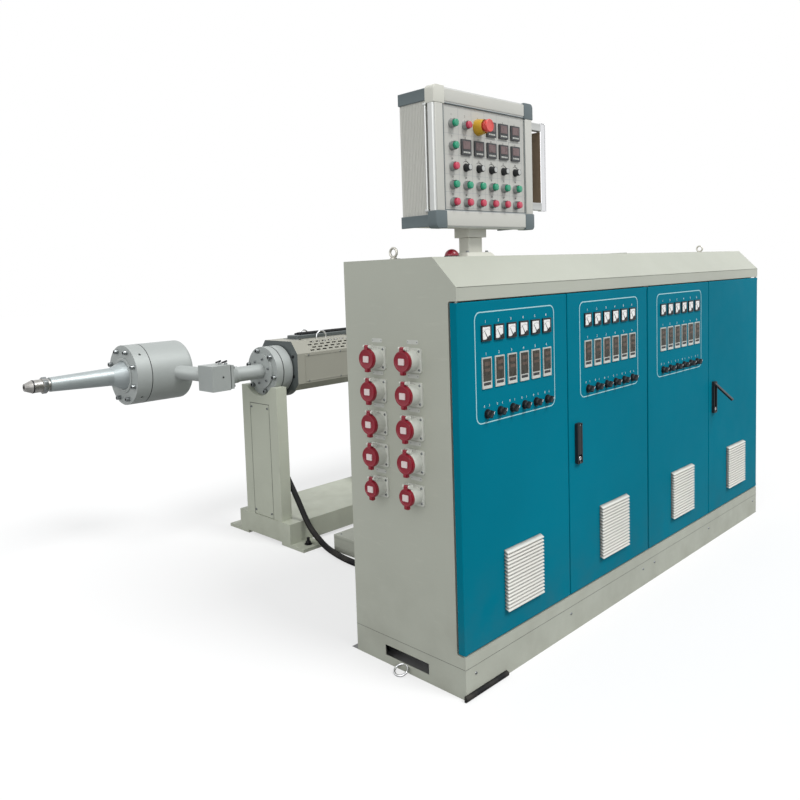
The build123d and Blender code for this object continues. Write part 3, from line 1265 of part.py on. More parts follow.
column_left = beam_left + COLUMN_SETBACK
column_right = column_left + COLUMN_LENGTH
with BuildPart() as stand_column:
    add_box((column_left, column_right),
            (SCREW_Y - COLUMN_HALF_WIDTH, SCREW_Y + COLUMN_HALF_WIDTH), (DECK_TOP, COLUMN_TOP))
    with BuildSketch(facing_screw(column_left)):
        Circle(ADAPTER_DISC_R + COLUMN_SADDLE_FIT)
    extrude(amount=COLUMN_LENGTH, mode=Mode.SUBTRACT)
    with BuildSketch(facing_screw(column_left, SCREW_Y, (DECK_TOP + COLUMN_PANEL_TOP) / 2)):
        Rectangle(2 * COLUMN_PANEL_HALF_WIDTH, COLUMN_PANEL_TOP - DECK_TOP)
        Rectangle(2 * (COLUMN_PANEL_HALF_WIDTH - COLUMN_PANEL_GROOVE),
                  COLUMN_PANEL_TOP - DECK_TOP - 2 * COLUMN_PANEL_GROOVE, mode=Mode.SUBTRACT)
    extrude(amount=COLUMN_PANEL_GROOVE, mode=Mode.SUBTRACT)
    junction_y = CABINET_Y + JUNCTION_BOX_Y
    junction_x = column_right + JUNCTION_BOX_DEPTH / 2
    add_box((column_right, column_right + JUNCTION_BOX_DEPTH),
            (junction_y - JUNCTION_BOX_WIDTH / 2, junction_y + JUNCTION_BOX_WIDTH / 2),
            (JUNCTION_BOX_BOTTOM, JUNCTION_BOX_BOTTOM + JUNCTION_BOX_HEIGHT))
    with Locations((junction_x, junction_y, JUNCTION_BOX_BOTTOM)):
        Cylinder(GLAND_R, GLAND_LENGTH, align=(Align.CENTER, Align.CENTER, Align.MAX))
save(stand_column.part, "stand_column")

bed_left = CABINET_X + BED_START
with BuildPart() as machine_bed:
    add_box((bed_left, deck_right), (SCREW_Y - BED_HALF_WIDTH, SCREW_Y + BED_HALF_WIDTH),
            (DECK_TOP, BED_TOP))
    add_box((throat_right + DRIVE_STAND_LEAD, deck_right),
            (SCREW_Y - DRIVE_STAND_HALF_WIDTH, SCREW_Y + DRIVE_STAND_HALF_WIDTH),
            (BED_TOP, SCREW_Z + GEARBOX_BOTTOM))
    with BuildSketch(facing_screw(gearbox_right)):
        Circle(GUARD_HALF_WIDTH)
        with Locations((0, GEARBOX_BOTTOM / 2)):
            Rectangle(2 * GUARD_HALF_WIDTH, -GEARBOX_BOTTOM)
        Circle(GUARD_HALF_WIDTH - GUARD_SHEET, mode=Mode.SUBTRACT)
        with Locations((0, GEARBOX_BOTTOM / 2)):
            Rectangle(2 * (GUARD_HALF_WIDTH - GUARD_SHEET), -GEARBOX_BOTTOM, mode=Mode.SUBTRACT)
    extrude(amount=COUPLING_LENGTH)
save(machine_bed.part, "machine_bed")

# Cable trunk and power cable
trunk_left = CABINET_X + TRUNK_LEFT
with BuildPart() as cable_trunk:
    add_box((trunk_left, trunk_left + TRUNK_WIDTH),
            (cab_back + BACK_PANEL_RAISE, CABINET_Y + TRUNK_END_Y), (0, TRUNK_HEIGHT))
save(cable_trunk.part, "cable_trunk")

cable_start = (junction_x, junction_y, JUNCTION_BOX_BOTTOM - GLAND_LENGTH)
cable_end = (cab_left + PLINTH_GLAND_X, cab_back + GLAND_LENGTH, PLINTH_GLAND_Z)
cable_route = [
    cable_start,
    *[(CABINET_X + x, CABINET_Y + y, z) for x, y, z in CABLE_POINTS],
    cable_end,
]


def bend_radii(route):
    """Largest radius that the two runs at each corner allow, at 0.45 of the shorter run."""
    radii = []
    for before, corner, after in zip(route, route[1:], route[2:]):
        run_in = Vector(*corner) - Vector(*before)
        run_out = Vector(*after) - Vector(*corner)
        half_turn = radians(run_in.get_angle(run_out) / 2)
        radii.append(0.45 * min(run_in.length, run_out.length) / tan(half_turn))
    return radii


cable_radii = bend_radii(cable_route)
print("cable radii", [round(radius) for radius in cable_radii])
with BuildPart() as power_cable:
    with BuildLine() as cable_path:
        FilletPolyline(*cable_route, radius=cable_radii)
    with BuildSketch(Plane(origin=cable_path.line @ 0, z_dir=cable_path.line % 0)):
        Circle(CABLE_R)
    sweep(path=cable_path.line)
save(power_cable.part, "power_cable")
cable_length = cable_path.wires()[0].length
cable_volume = cable_length * pi * CABLE_R ** 2
print("cable length", round(cable_length), "volume ratio",
      round(power_cable.part.volume / cable_volume, 4))
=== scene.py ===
"""Looks of a plastic extruder and the four-door control cabinet beside it.

Lengths are in metres, in the frame's own axes: +X along the cabinet's doors and the screw, +Y from
the doors to the extruder, +Z up. Each sub-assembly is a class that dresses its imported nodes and
models the details that stand on them.
"""

from __future__ import annotations

import json
import logging
from collections.abc import Callable, Iterable, Iterator, Sequence
from contextlib import contextmanager
from dataclasses import dataclass, field
from enum import Enum
from math import cos, hypot, pi, radians, sin

import bmesh
import bpy
from mathutils import Euler, Matrix, Vector

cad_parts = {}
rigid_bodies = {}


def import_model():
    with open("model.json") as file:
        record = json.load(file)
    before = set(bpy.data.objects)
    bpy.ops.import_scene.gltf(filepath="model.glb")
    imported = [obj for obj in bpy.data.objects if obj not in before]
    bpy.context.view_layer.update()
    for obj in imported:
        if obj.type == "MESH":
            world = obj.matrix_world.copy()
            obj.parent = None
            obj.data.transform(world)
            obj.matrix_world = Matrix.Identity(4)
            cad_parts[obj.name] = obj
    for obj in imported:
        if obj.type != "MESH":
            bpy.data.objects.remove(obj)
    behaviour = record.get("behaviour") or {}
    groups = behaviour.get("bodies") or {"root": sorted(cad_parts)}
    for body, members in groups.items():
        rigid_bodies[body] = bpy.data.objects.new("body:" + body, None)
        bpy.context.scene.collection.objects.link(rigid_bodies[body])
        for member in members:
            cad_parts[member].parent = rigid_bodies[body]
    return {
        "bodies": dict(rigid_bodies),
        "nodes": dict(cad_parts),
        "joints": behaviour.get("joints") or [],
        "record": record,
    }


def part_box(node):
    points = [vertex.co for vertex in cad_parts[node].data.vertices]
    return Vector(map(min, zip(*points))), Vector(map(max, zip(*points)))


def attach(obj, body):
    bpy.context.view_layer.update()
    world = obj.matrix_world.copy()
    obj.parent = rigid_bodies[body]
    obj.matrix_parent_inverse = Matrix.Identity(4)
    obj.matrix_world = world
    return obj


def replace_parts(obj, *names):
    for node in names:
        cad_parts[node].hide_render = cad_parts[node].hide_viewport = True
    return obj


LOG = logging.getLogger("extruder")
MACHINE = "machine"
OPERATOR = "operator_station"

Flat = tuple[float, float]
Point = tuple[float, float, float]
Colour = tuple[int, int, int]
FaceTest = Callable[[Vector, Vector], bool]
NODES: dict[str, bpy.types.Object] = {}


class Pick(Enum):
    """What edit mode selects."""

    POINTS = "VERT"
    EDGES = "EDGE"
    FACES = "FACE"


class Axis(Enum):
    """Directions a primitive can stand along."""

    LEFT = (-1.0, 0.0, 0.0)
    RIGHT = (1.0, 0.0, 0.0)
    FRONT = (0.0, -1.0, 0.0)
    BACK = (0.0, 1.0, 0.0)
    UP = (0.0, 0.0, 1.0)
    DOWN = (0.0, 0.0, -1.0)

    @property
    def vector(self) -> Vector:
        """The direction as a vector."""
        return Vector(self.value)


def linear(colour: Colour) -> tuple[float, float, float, float]:
    """Turns a colour as seen on a screen, 0 to 255, into the shader's own scale."""
    shares = [part / 255 for part in colour]
    levels = [s / 12.92 if s <= 0.04045 else ((s + 0.055) / 1.055) ** 2.4 for s in shares]
    return (*levels, 1.0)


class Signal:
    """A socket that can be used in sums, so shader maths reads like ordinary maths."""

    def __init__(self, recipe: Recipe, socket: bpy.types.NodeSocket) -> None:
        """Wraps a node's output for the recipe that it belongs to."""
        self.recipe = recipe
        self.socket = socket

    def _sum(self, operation: str, first: Signal | float, second: Signal | float) -> Signal:
        """Adds one Math node and returns its output."""
        return self.recipe.node("ShaderNodeMath", {"operation": operation}, {0: first, 1: second})

    def __add__(self, other: Signal | float) -> Signal:
        """Sum."""
        return self._sum("ADD", self, other)

    __radd__ = __add__

    def __sub__(self, other: Signal | float) -> Signal:
        """Difference."""
        return self._sum("SUBTRACT", self, other)

    def __rsub__(self, other: float) -> Signal:
        """Difference from a number."""
        return self._sum("SUBTRACT", other, self)

    def __mul__(self, other: Signal | float) -> Signal:
        """Product."""
        return self._sum("MULTIPLY", self, other)

    __rmul__ = __mul__

    def __truediv__(self, other: Signal | float) -> Signal:
        """Quotient."""
        return self._sum("DIVIDE", self, other)

    def __gt__(self, other: Signal | float) -> Signal:
        """1 where this is more than the other, else 0."""
        return self._sum("GREATER_THAN", self, other)

    def __lt__(self, other: Signal | float) -> Signal:
        """1 where this is less than the other, else 0."""
        return self._sum("LESS_THAN", self, other)

    def span(self, low: float, high: float) -> Signal:
        """0 at low and 1 at high, held to that range outside it."""
        return self.recipe.node(
            "ShaderNodeMapRange",
            {"clamp": True},
            {"Value": self, "From Min": low, "From Max": high},
        )


class Recipe:
    """Writes the nodes of one material."""

    def __init__(self, name: str) -> None:
        """Starts an empty material with this name."""
        self.material = bpy.data.materials.new(name)
        self.material.use_nodes = True
        self.tree = self.material.node_tree
        self.tree.nodes.clear()
        self.output = self.tree.nodes.new("ShaderNodeOutputMaterial")
        self._place: Signal | None = None

    def node(
        self,
        kind: str,
        settings: dict[str, object] | None = None,
        inputs: dict[str | int, object] | None = None,
        out: str | int = 0,
    ) -> Signal:
        """Adds a node.

        Args:
            kind: the node's type.
            settings: properties that are set first.
            inputs: values or signals for its sockets, by name or number.
            out: which output is returned.

        Returns:
            The chosen output.
        """
        made = self.tree.nodes.new(kind)
        for name, value in (settings or {}).items():
            setattr(made, name, value)
        for name, value in (inputs or {}).items():
            if isinstance(value, Signal):
                self.tree.links.new(value.socket, made.inputs[name])
            else:
                made.inputs[name].default_value = value
        return Signal(self, made.outputs[out])

    @property
    def place(self) -> Signal:
        """Object coordinates, which are the frame's own metres."""
        if self._place is None:
            self._place = self.node("ShaderNodeTexCoord", out="Object")
        return self._place

    def along(self, axis: str) -> Signal:
        """One coordinate, X, Y or Z, in metres."""
        return self.node("ShaderNodeSeparateXYZ", {}, {0: self.place}, out=axis)

    def size_of(self, signal: Signal) -> Signal:
        """A signal without its sign."""
        return self.node("ShaderNodeMath", {"operation": "ABSOLUTE"}, {0: signal})

    def noise(self, scale: float, detail: float = 3.0, stretch: Point = (1, 1, 1)) -> Signal:
        """Cloudy noise, from 0 to 1.

        Args:
            scale: clouds per metre.
            detail: how fine its edges are.
            stretch: how often it repeats along each axis, as a share of scale.

        Returns:
            The noise's level.
        """
        where = self.node("ShaderNodeMapping", {}, {"Vector": self.place, "Scale": stretch})
        return self.node("ShaderNodeTexNoise", {}, {"Vector": where, "Scale": scale, "Detail": detail})

    def mix(self, factor: Signal | float, first: object, second: object) -> Signal:
        """Blends two colours.

        Args:
            factor: 0 for the first, 1 for the second.
            first: a colour or a signal.
            second: a colour or a signal.

        Returns:
            The blended colour.
        """
        mixer = self.tree.nodes.new("ShaderNodeMix")
        mixer.data_type = "RGBA"
        for index, value in ((0, factor), (6, first), (7, second)):
            if isinstance(value, Signal):
                self.tree.links.new(value.socket, mixer.inputs[index])
            else:
                mixer.inputs[index].default_value = value
        return Signal(self, mixer.outputs[2])

    def bump(self, height: Signal, depth: float, strength: float = 1.0) -> Signal:
        """Raises a surface by a height signal, with depth in metres."""
        return self.node("ShaderNodeBump", {}, {"Height": height, "Distance": depth, "Strength": strength})

    def surface(self, inputs: dict[str, object]) -> bpy.types.Material:
        """Closes the material with a principled shader that has these inputs."""
        shader = self.node("ShaderNodeBsdfPrincipled", {}, inputs)
        self.tree.links.new(shader.socket, self.output.inputs["Surface"])
        return self.material


def tint(colour: Colour, share: float) -> tuple[float, float, float, float]:
    """A colour made darker or lighter by a share of itself."""
    red, green, blue, _ = linear(colour)
    return (min(1, red * share), min(1, green * share), min(1, blue * share), 1.0)


@dataclass(frozen=True)
class Enamel:
    """Sprayed paint on sheet, castings or machined steel.

    Mottle, grime and scuffs say how far the colour changes, and peel how deep the skin is, in metres.
    """

    name: str
    colour: Colour
    rough: float = 0.42
    mottle: float = 0.06
    peel: float = 0.00006
    grime: float = 0.22
    metallic: float = 0.0
    scuffs: float = 0.10
    shine: float = 0.5

    def make(self) -> bpy.types.Material:
        """Writes the material."""
        recipe = Recipe(self.name)
        drift = recipe.noise(1.7, 4.0).span(0.3, 0.7)
        cloth = recipe.noise(9.0, 6.0).span(0.35, 0.75)
        tone = recipe.mix(drift, tint(self.colour, 1 - self.mottle), tint(self.colour, 1 + self.mottle / 2))
        scuff = recipe.noise(34.0, 8.0, (0.35, 0.35, 2.2)).span(0.62, 0.72) * self.scuffs
        tone = recipe.mix(scuff, tone, tint(self.colour, 1.35))
        low = 1 - recipe.along("Z").span(0.0, 0.42)
        dust = low * cloth * self.grime
        tone = recipe.mix(dust, tone, linear((92, 84, 70)))
        peel = recipe.noise(620.0, 2.0)
        wave = recipe.noise(16.0, 2.0)
        return recipe.surface(
            {
                "Base Color": tone,
                "Roughness": cloth * 0.10 + dust * 0.4 + (self.rough - 0.05),
                "Metallic": self.metallic,
                "Specular IOR Level": self.shine,
                "Normal": recipe.bump(peel + wave * 0.6, self.peel),
            }
        )


@dataclass(frozen=True)
class Moulding:
    """Moulded plastic.

    Patches and grain are counted per metre. Worn places start at clean, take the shade worn and are
    rougher by dull. Depth is that of the grain, in metres.
    """

    name: str
    colour: Colour
    rough: float = 0.4
    coat: float = 0.0
    patches: float = 60.0
    clean: float = 0.35
    worn: float = 0.88
    dull: float = 0.14
    shine: float = 0.5
    grain: float = 1500.0
    depth: float = 0.00003

    def make(self) -> bpy.types.Material:
        """Writes the material."""
        recipe = Recipe(self.name)
        wear = recipe.noise(self.patches, 5.0).span(self.clean, 0.8)
        return recipe.surface(
            {
                "Base Color": recipe.mix(wear, linear(self.colour), tint(self.colour, self.worn)),
                "Roughness": wear * self.dull + self.rough,
                "Specular IOR Level": self.shine,
                "Coat Weight": self.coat,
                "Coat Roughness": 0.12,
                "Normal": recipe.bump(recipe.noise(self.grain, 2.0), self.depth),
            }
        )


@dataclass(frozen=True)
class Window(Moulding):
    """Dark clear window over an instrument's digits, as a smeared and smooth moulding."""

    colour: Colour = (58, 56, 50)
    rough: float = 0.22
    patches: float = 45.0
    clean: float = 0.3
    worn: float = 1.5
    dull: float = 0.15
    shine: float = 0.25
    grain: float = 30.0
    depth: float = 0.00005


@dataclass(frozen=True)
class Print(Moulding):
    """Screen-printed ink or a printed card, as a thin and slightly rubbed moulding."""

    rough: float = 0.45
    patches: float = 120.0
    clean: float = 0.3
    worn: float = 0.94
    dull: float = 0.1
    grain: float = 120.0
    depth: float = 0.00001


@dataclass(frozen=True)
class Louvre:
    """White plastic slats, painted darker deep between them for the shade that falls there."""

    name: str
    front: float
    back: float
    colour: Colour = (216, 215, 208)
    # Colour of the painted shade deep between the slats.
    dust: Colour = (62, 56, 50)

    def make(self) -> bpy.types.Material:
        """Writes the material."""
        recipe = Recipe(self.name)
        patch = recipe.noise(24.0, 6.0).span(0.3, 0.8)
        # Painted shade: darker towards the door's face, where the slats shade each other.
        deep = recipe.along("Y").span(self.front + 0.003, self.back) * (patch * 0.3 + 0.7)
        return recipe.surface(
            {
                "Base Color": recipe.mix(deep, linear(self.colour), linear(self.dust)),
                "Roughness": deep * 0.3 + 0.42,
                "Normal": recipe.bump(recipe.noise(1500.0, 2.0), 0.00003),
            }
        )


@dataclass(frozen=True)
class Metal:
    """Bare metal with the marks of its making."""

    name: str
    colour: Colour
    rough: float = 0.3
    brushed: Point = (1.0, 1.0, 1.0)
    depth: float = 0.00002
    stain: float = 0.12

    def make(self) -> bpy.types.Material:
        """Writes the material."""
        recipe = Recipe(self.name)
        marks = recipe.noise(420.0, 3.0, self.brushed)
        patch = recipe.noise(22.0, 6.0).span(0.4, 0.75)
        tone = recipe.mix(patch * self.stain, linear(self.colour), tint(self.colour, 0.45))
        return recipe.surface(
            {
                "Base Color": tone,
                "Roughness": marks * 0.16 + patch * self.stain + (self.rough - 0.08),
                "Metallic": 1.0,
                "Normal": recipe.bump(marks, self.depth),
            }
        )


@dataclass(frozen=True)
class TippedSteel:
    """Silver paint on a nozzle whose front end is left as bright turned steel."""

    name: str
    paint: Colour
    steel: Colour
    edge: float

    def make(self) -> bpy.types.Material:
        """Writes the material."""
        recipe = Recipe(self.name)
        ragged = recipe.along("X") + recipe.noise(70.0, 3.0) * 0.003
        painted = ragged > self.edge
        turned = recipe.noise(900.0, 2.0, (1.0, 0.02, 0.02))
        patch = recipe.noise(30.0, 5.0).span(0.35, 0.75)
        bare = recipe.mix(patch, linear(self.steel), tint(self.steel, 0.55))
        sprayed = recipe.mix(patch, linear(self.paint), tint(self.paint, 0.9))
        return recipe.surface(
            {
                "Base Color": recipe.mix(painted, bare, sprayed),
                "Roughness": painted * 0.16 + turned * 0.12 + 0.2,
                "Metallic": 1 - painted * 0.45,
                "Normal": recipe.bump(turned, 0.00003),
            }
        )


@dataclass(frozen=True)
class Sheath:
    """Black rubber or soft plastic skin of a cable."""

    name: str
    colour: Colour = (17, 18, 20)

    def make(self) -> bpy.types.Material:
        """Writes the material."""
        recipe = Recipe(self.name)
        dust = recipe.noise(14.0, 6.0).span(0.45, 0.8)
        low = 1 - recipe.along("Z").span(0.0, 0.3)
        tone = recipe.mix(dust * low * 0.5, linear(self.colour), linear((92, 88, 80)))
        return recipe.surface(
            {
                "Base Color": tone,
                "Roughness": dust * 0.2 + 0.5,
                "Specular IOR Level": 0.2,
                "Normal": recipe.bump(recipe.noise(700.0, 3.0), 0.00008),
            }
        )


class Finishes:
    """Every finish of the machine, each written once."""

    CABINET = Enamel("cabinet_grey", (176, 179, 167), rough=0.46)
    DOOR = Enamel("door_teal", (0, 115, 137), rough=0.45, mottle=0.08, scuffs=0.02, shine=0.02)
    STAND = Enamel("stand_grey", (186, 190, 175), mottle=0.10, shine=0.3)
    SILVER = Enamel("silver_paint", (170, 175, 173), rough=0.5, grime=0.0, metallic=0.2, peel=0.00010)
    COVER = Enamel("cover_taupe", (156, 155, 144), rough=0.42, grime=0.0)
    END_PLATE = Enamel("end_plate_dark", (84, 90, 90), rough=0.36, grime=0.0)
    DRIVE = Enamel("drive_grey", (150, 156, 150), rough=0.36)
    BOX_SIDE = Enamel("box_side", (196, 196, 189), rough=0.4, grime=0.0, mottle=0.03)
    BOX_CAP = Enamel("box_cap", (94, 106, 109), rough=0.45, grime=0.0, mottle=0.1)
    NECK = Enamel("neck_beige", (210, 210, 200), grime=0.0)
    PANEL = Enamel("panel_plate", (190, 190, 184), rough=0.42, grime=0.0, mottle=0.02, scuffs=0.0)
    ALUMINIUM = Metal("aluminium", (198, 200, 198), 0.42, (1.0, 1.0, 0.04), stain=0.05)
    ZINC = Metal("zinc_plate", (200, 198, 190), 0.36)
    BOLT = Metal("bolt_steel", (150, 154, 155), 0.34, stain=0.3)
    CHROME = Metal("chrome", (225, 226, 228), 0.14, stain=0.05)
    BLACK_OXIDE = Metal("black_oxide", (58, 58, 60), 0.42, stain=0.2)
    RIM = Metal("button_rim", (168, 171, 171), 0.30, stain=0.15)
    PALE = Moulding("pale_plastic", (196, 198, 192), 0.4)
    SLEEVE = Moulding("sleeve_plastic", (204, 206, 198), 0.4)
    LINER = Moulding("grip_liner", (122, 104, 84), 0.5)
    BLACK = Moulding("black_plastic", (26, 28, 31), 0.34)
    CASE = Moulding("instrument_case", (62, 64, 66), 0.42)
    CRIMSON = Moulding("crimson_plastic", (138, 8, 36), 0.28, coat=0.25)
    GREEN = Moulding("green_cap", (18, 150, 112), 0.22, coat=0.5)
    RED = Moulding("red_cap", (198, 56, 84), 0.22, coat=0.5)
    STOP_RED = Moulding("stop_red", (222, 74, 68), 0.26, coat=0.4)
    YELLOW = Moulding("stop_yellow", (204, 160, 40), 0.34)
    RUBBER = Sheath("black_rubber")
    GLASS = Window("instrument_window")
    DIGITS = Window("panel_window", (104, 88, 88))
    FIGURES = Window("controller_figures", (86, 74, 66))
    LINE = Print("printed_blue_line", (168, 212, 218))
    INK_WHITE = Print("printed_white", (230, 238, 240))
    INK_BLACK = Print("printed_black", (34, 34, 36))
    INK_GREY = Print("printed_grey", (150, 156, 160))
    CARD = Print("white_card", (240, 240, 238))
    LABEL = Print("lid_label", (222, 208, 206))
    SEAM = Print("seam_shadow", (104, 106, 100))

    _made: dict[str, bpy.types.Material] = {}

    @classmethod
    def material(cls, finish: object) -> bpy.types.Material:
        """The finish's material, written the first time it is asked for."""
        if finish.name not in cls._made:
            cls._made[finish.name] = finish.make()
        return cls._made[finish.name]


def only(obj: bpy.types.Object) -> None:
    """Makes one object the only selected and active one."""
    bpy.ops.object.select_all(action="DESELECT")
    obj.select_set(True)
    bpy.context.view_layer.objects.active = obj


class Piece:
    """A mesh in the making, shaped by operators and then put on a body."""

    def __init__(self, obj: bpy.types.Object) -> None:
        """Wraps the mesh object that is shaped."""
        self.obj = obj

    @classmethod
    def taken(cls) -> Piece:
        """Takes up what was just added and settles its place in its mesh."""
        bpy.ops.object.transform_apply(location=True, rotation=True, scale=True)
        return cls(bpy.context.active_object)

    @classmethod
    def block(cls, first: Sequence[float], second: Sequence[float]) -> Piece:
        """A box between two opposite corners."""
        bpy.ops.object.select_all(action="DESELECT")
        low, high = (Vector(map(pick, first, second)) for pick in (min, max))
        bpy.ops.mesh.primitive_cube_add(size=1, location=(low + high) / 2, scale=high - low)
        return cls.taken()

    @classmethod
    def rod(
        cls,
        base: Sequence[float],
        axis: Axis | Vector,
        radius: float,
        length: float,
        sides: int = 28,
        end_radius: float | None = None,
    ) -> Piece:
        """A round or many-sided bar.

        Args:
            base: centre of its first end.
            axis: the way it runs.
            radius: at its first end.
            length: along its axis.
            sides: how many flats it has round it.
            end_radius: at its other end, where that differs.

        Returns:
            The new piece.
        """
        bpy.ops.object.select_all(action="DESELECT")
        way = axis.vector if isinstance(axis, Axis) else Vector(axis).normalized()
        bpy.ops.mesh.primitive_cone_add(
            vertices=sides,
            radius1=radius,
            radius2=radius if end_radius is None else end_radius,
            depth=length,
            location=Vector(base) + way * length / 2,
            rotation=way.to_track_quat("Z", "Y").to_euler(),
        )
        return cls.taken()

    @classmethod
    def ring(
        cls,
        centre: Sequence[float],
        axis: Axis | Vector,
        radius: float,
        wire: float,
        turns: int = 40,
        sides: int = 10,
    ) -> Piece:
        """A ring of round wire.

        Args:
            centre: its middle.
            axis: the way that it faces.
            radius: to the middle of the wire.
            wire: radius of the wire.
            turns: how many pieces the wire has along it.
            sides: how many flats the wire has round it.

        Returns:
            The new piece.
        """
        bpy.ops.object.select_all(action="DESELECT")
        way = axis.vector if isinstance(axis, Axis) else Vector(axis)
        bpy.ops.mesh.primitive_torus_add(
            major_radius=radius,
            minor_radius=wire,
            major_segments=turns,
            minor_segments=sides,
            location=centre,
            rotation=way.to_track_quat("Z", "Y").to_euler(),
        )
        return cls.taken()

    @classmethod
    def ball(cls, centre: Sequence[float], radius: float, rows: int = 12) -> Piece:
        """A ball with this many rows of faces."""
        bpy.ops.object.select_all(action="DESELECT")
        bpy.ops.mesh.primitive_uv_sphere_add(
            segments=2 * rows, ring_count=rows, radius=radius, location=centre
        )
        return cls.taken()

    @contextmanager
    def editing(self, pick: Pick, test: FaceTest | None = None) -> Iterator[None]:
        """Opens edit mode with only the chosen elements selected.

        Args:
            pick: what is selected.
            test: takes an element's middle and normal; without it all is selected.
        """
        only(self.obj)
        bpy.ops.object.mode_set(mode="EDIT")
        bpy.ops.mesh.select_mode(type=pick.value)
        mesh = bmesh.from_edit_mesh(self.obj.data)
        mesh.normal_update()
        groups = {Pick.POINTS: mesh.verts, Pick.EDGES: mesh.edges, Pick.FACES: mesh.faces}
        chosen = []
        for element in groups[pick]:
            if pick is Pick.POINTS:
                middle, normal = element.co, element.normal
            elif pick is Pick.EDGES:
                ends = element.verts
                middle, normal = (ends[0].co + ends[1].co) / 2, ends[1].co - ends[0].co
            else:
                middle, normal = element.calc_center_median(), element.normal
            if test is None or test(middle, normal):
                chosen.append(element)
        for kind in (mesh.faces, mesh.edges, mesh.verts):
            for element in kind:
                element.select = False
        for element in chosen:
            element.select_set(True)
        mesh.select_flush_mode()
        bmesh.update_edit_mesh(self.obj.data)
        yield
        bpy.ops.object.mode_set(mode="OBJECT")

    def inset(self, test: FaceTest, thickness: float, depth: float = 0.0) -> Piece:
        """Insets faces, and moves them out by depth, or in where it is negative."""
        with self.editing(Pick.FACES, test):
            bpy.ops.mesh.inset(thickness=thickness, depth=depth)
        return self

    def extrude(self, test: FaceTest, move: Sequence[float]) -> Piece:
        """Extrudes faces by a move."""
        with self.editing(Pick.FACES, test):
            bpy.ops.mesh.extrude_region_move(TRANSFORM_OT_translate={"value": tuple(move)})
        return self

    def taper(self, test: FaceTest, scale: Sequence[float], centre: Sequence[float]) -> Piece:
        """Scales faces about a centre."""
        with self.editing(Pick.FACES, test):
            bpy.ops.transform.resize(value=tuple(scale), center_override=tuple(centre))
        return self

    def bevel_edges(self, test: FaceTest, width: float, segments: int = 3) -> Piece:
        """Rounds edges that pass a test on their middle and direction."""
        with self.editing(Pick.EDGES, test):
            bpy.ops.mesh.bevel(offset=width, segments=segments, affect="EDGES")
        return self

    def drop(self, test: FaceTest) -> Piece:
        """Deletes faces."""
        with self.editing(Pick.FACES, test):
            bpy.ops.mesh.delete(type="FACE")
        return self

    def modify(self, kind: str, **settings: object) -> Piece:
        """Adds a modifier with these settings and applies it."""
        only(self.obj)
        modifier = self.obj.modifiers.new(kind.lower(), kind)
        for name, value in settings.items():
            setattr(modifier, name, value)
        bpy.ops.object.modifier_apply(modifier=modifier.name)
        return self

    def rounded(self, width: float, segments: int = 2) -> Piece:
        """Rounds every sharp edge."""
        return self.modify(
            "BEVEL", width=width, segments=segments, limit_method="ANGLE", angle_limit=radians(35)
        )

    def cut(self, tool: Piece) -> Piece:
        """Cuts another piece's shape out of this one and uses that piece up."""
        self.modify("BOOLEAN", operation="DIFFERENCE", solver="EXACT", object=tool.obj)
        bpy.data.objects.remove(tool.obj)
        return self

    def paint(self, finish: object) -> Piece:
        """Gives the whole piece one finish."""
        self.obj.data.materials.clear()
        self.obj.data.materials.append(Finishes.material(finish))
        return self

    def shade(self, finish: object, test: FaceTest) -> Piece:
        """Gives a second finish to the faces that pass a test."""
        self.obj.data.materials.append(Finishes.material(finish))
        last = len(self.obj.data.materials) - 1
        for face in self.obj.data.polygons:
            if test(face.center, face.normal):
                face.material_index = last
        return self

    def copies(self, places: Iterable[Matrix]) -> list[Piece]:
        """Copies the piece to each place, each with its own mesh, and uses the piece up."""
        made = []
        for place in places:
            twin = self.obj.copy()
            twin.data = self.obj.data.copy()
            twin.data.transform(place)
            bpy.context.scene.collection.objects.link(twin)
            made.append(Piece(twin))
        bpy.data.objects.remove(self.obj)
        return made

    def ride(self, name: str, slot: str, body: str = MACHINE) -> bpy.types.Object:
        """Names the piece, smooths it by angle and puts it on a body.

        Args:
            name: the finished object's name.
            slot: the material slot that its finish belongs to; not used.
            body: the body it moves with.

        Returns:
            The finished object.
        """
        only(self.obj)
        self.obj.name = self.obj.data.name = name
        bpy.ops.object.shade_smooth_by_angle(angle=radians(38))
        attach(self.obj, body)
        LOG.info("%s on %s", self.obj.name, body)
        return self.obj


def join(pieces: Iterable[Piece]) -> Piece:
    """Joins pieces into one that keeps their finishes."""
    pieces = list(pieces)
    bpy.ops.object.select_all(action="DESELECT")
    for piece in pieces:
        piece.obj.select_set(True)
    bpy.context.view_layer.objects.active = pieces[0].obj
    if len(pieces) > 1:
        bpy.ops.object.join()
    return Piece(bpy.context.active_object)


def mount(name: str, pieces: Iterable[Piece], slot: str, body: str = MACHINE) -> bpy.types.Object:
    """Joins pieces into one finished object on a body."""
    return join(pieces).ride(name, slot, body)


def towards(axis: Axis, least: float = 0.9) -> FaceTest:
    """Test for the faces that look along an axis."""
    way = axis.vector
    return lambda middle, normal: normal.dot(way) > least


def central(axis: Axis, place: Vector, reach: float) -> FaceTest:
    """Test for a face that looks along an axis, its middle on the line through a place.

    Args:
        axis: the way that it looks.
        place: any place on the line.
        reach: how far off the line its middle may be.

    Returns:
        The test.
    """
    way = axis.vector
    return lambda middle, normal: normal.dot(way) > 0.9 and (middle - place).cross(way).length < reach


def running(axis: Axis, least: float) -> FaceTest:
    """Test for the edges that run along an axis for more than a length."""
    way = axis.vector
    return lambda middle, edge: abs(edge.dot(way)) > least


FRONT_FACE = towards(Axis.FRONT)


def steps(move: Sequence[float], count: int) -> list[Matrix]:
    """Moves for a row of copies, the first of them in place."""
    return [Matrix.Translation(Vector(move) * index) for index in range(count)]


def spin(pivot: Sequence[float], angle: float, axis: str) -> Matrix:
    """A turn in degrees about a pivot and one of the axes X, Y and Z."""
    there = Matrix.Translation(pivot)
    return there @ Matrix.Rotation(radians(angle), 4, axis) @ there.inverted()


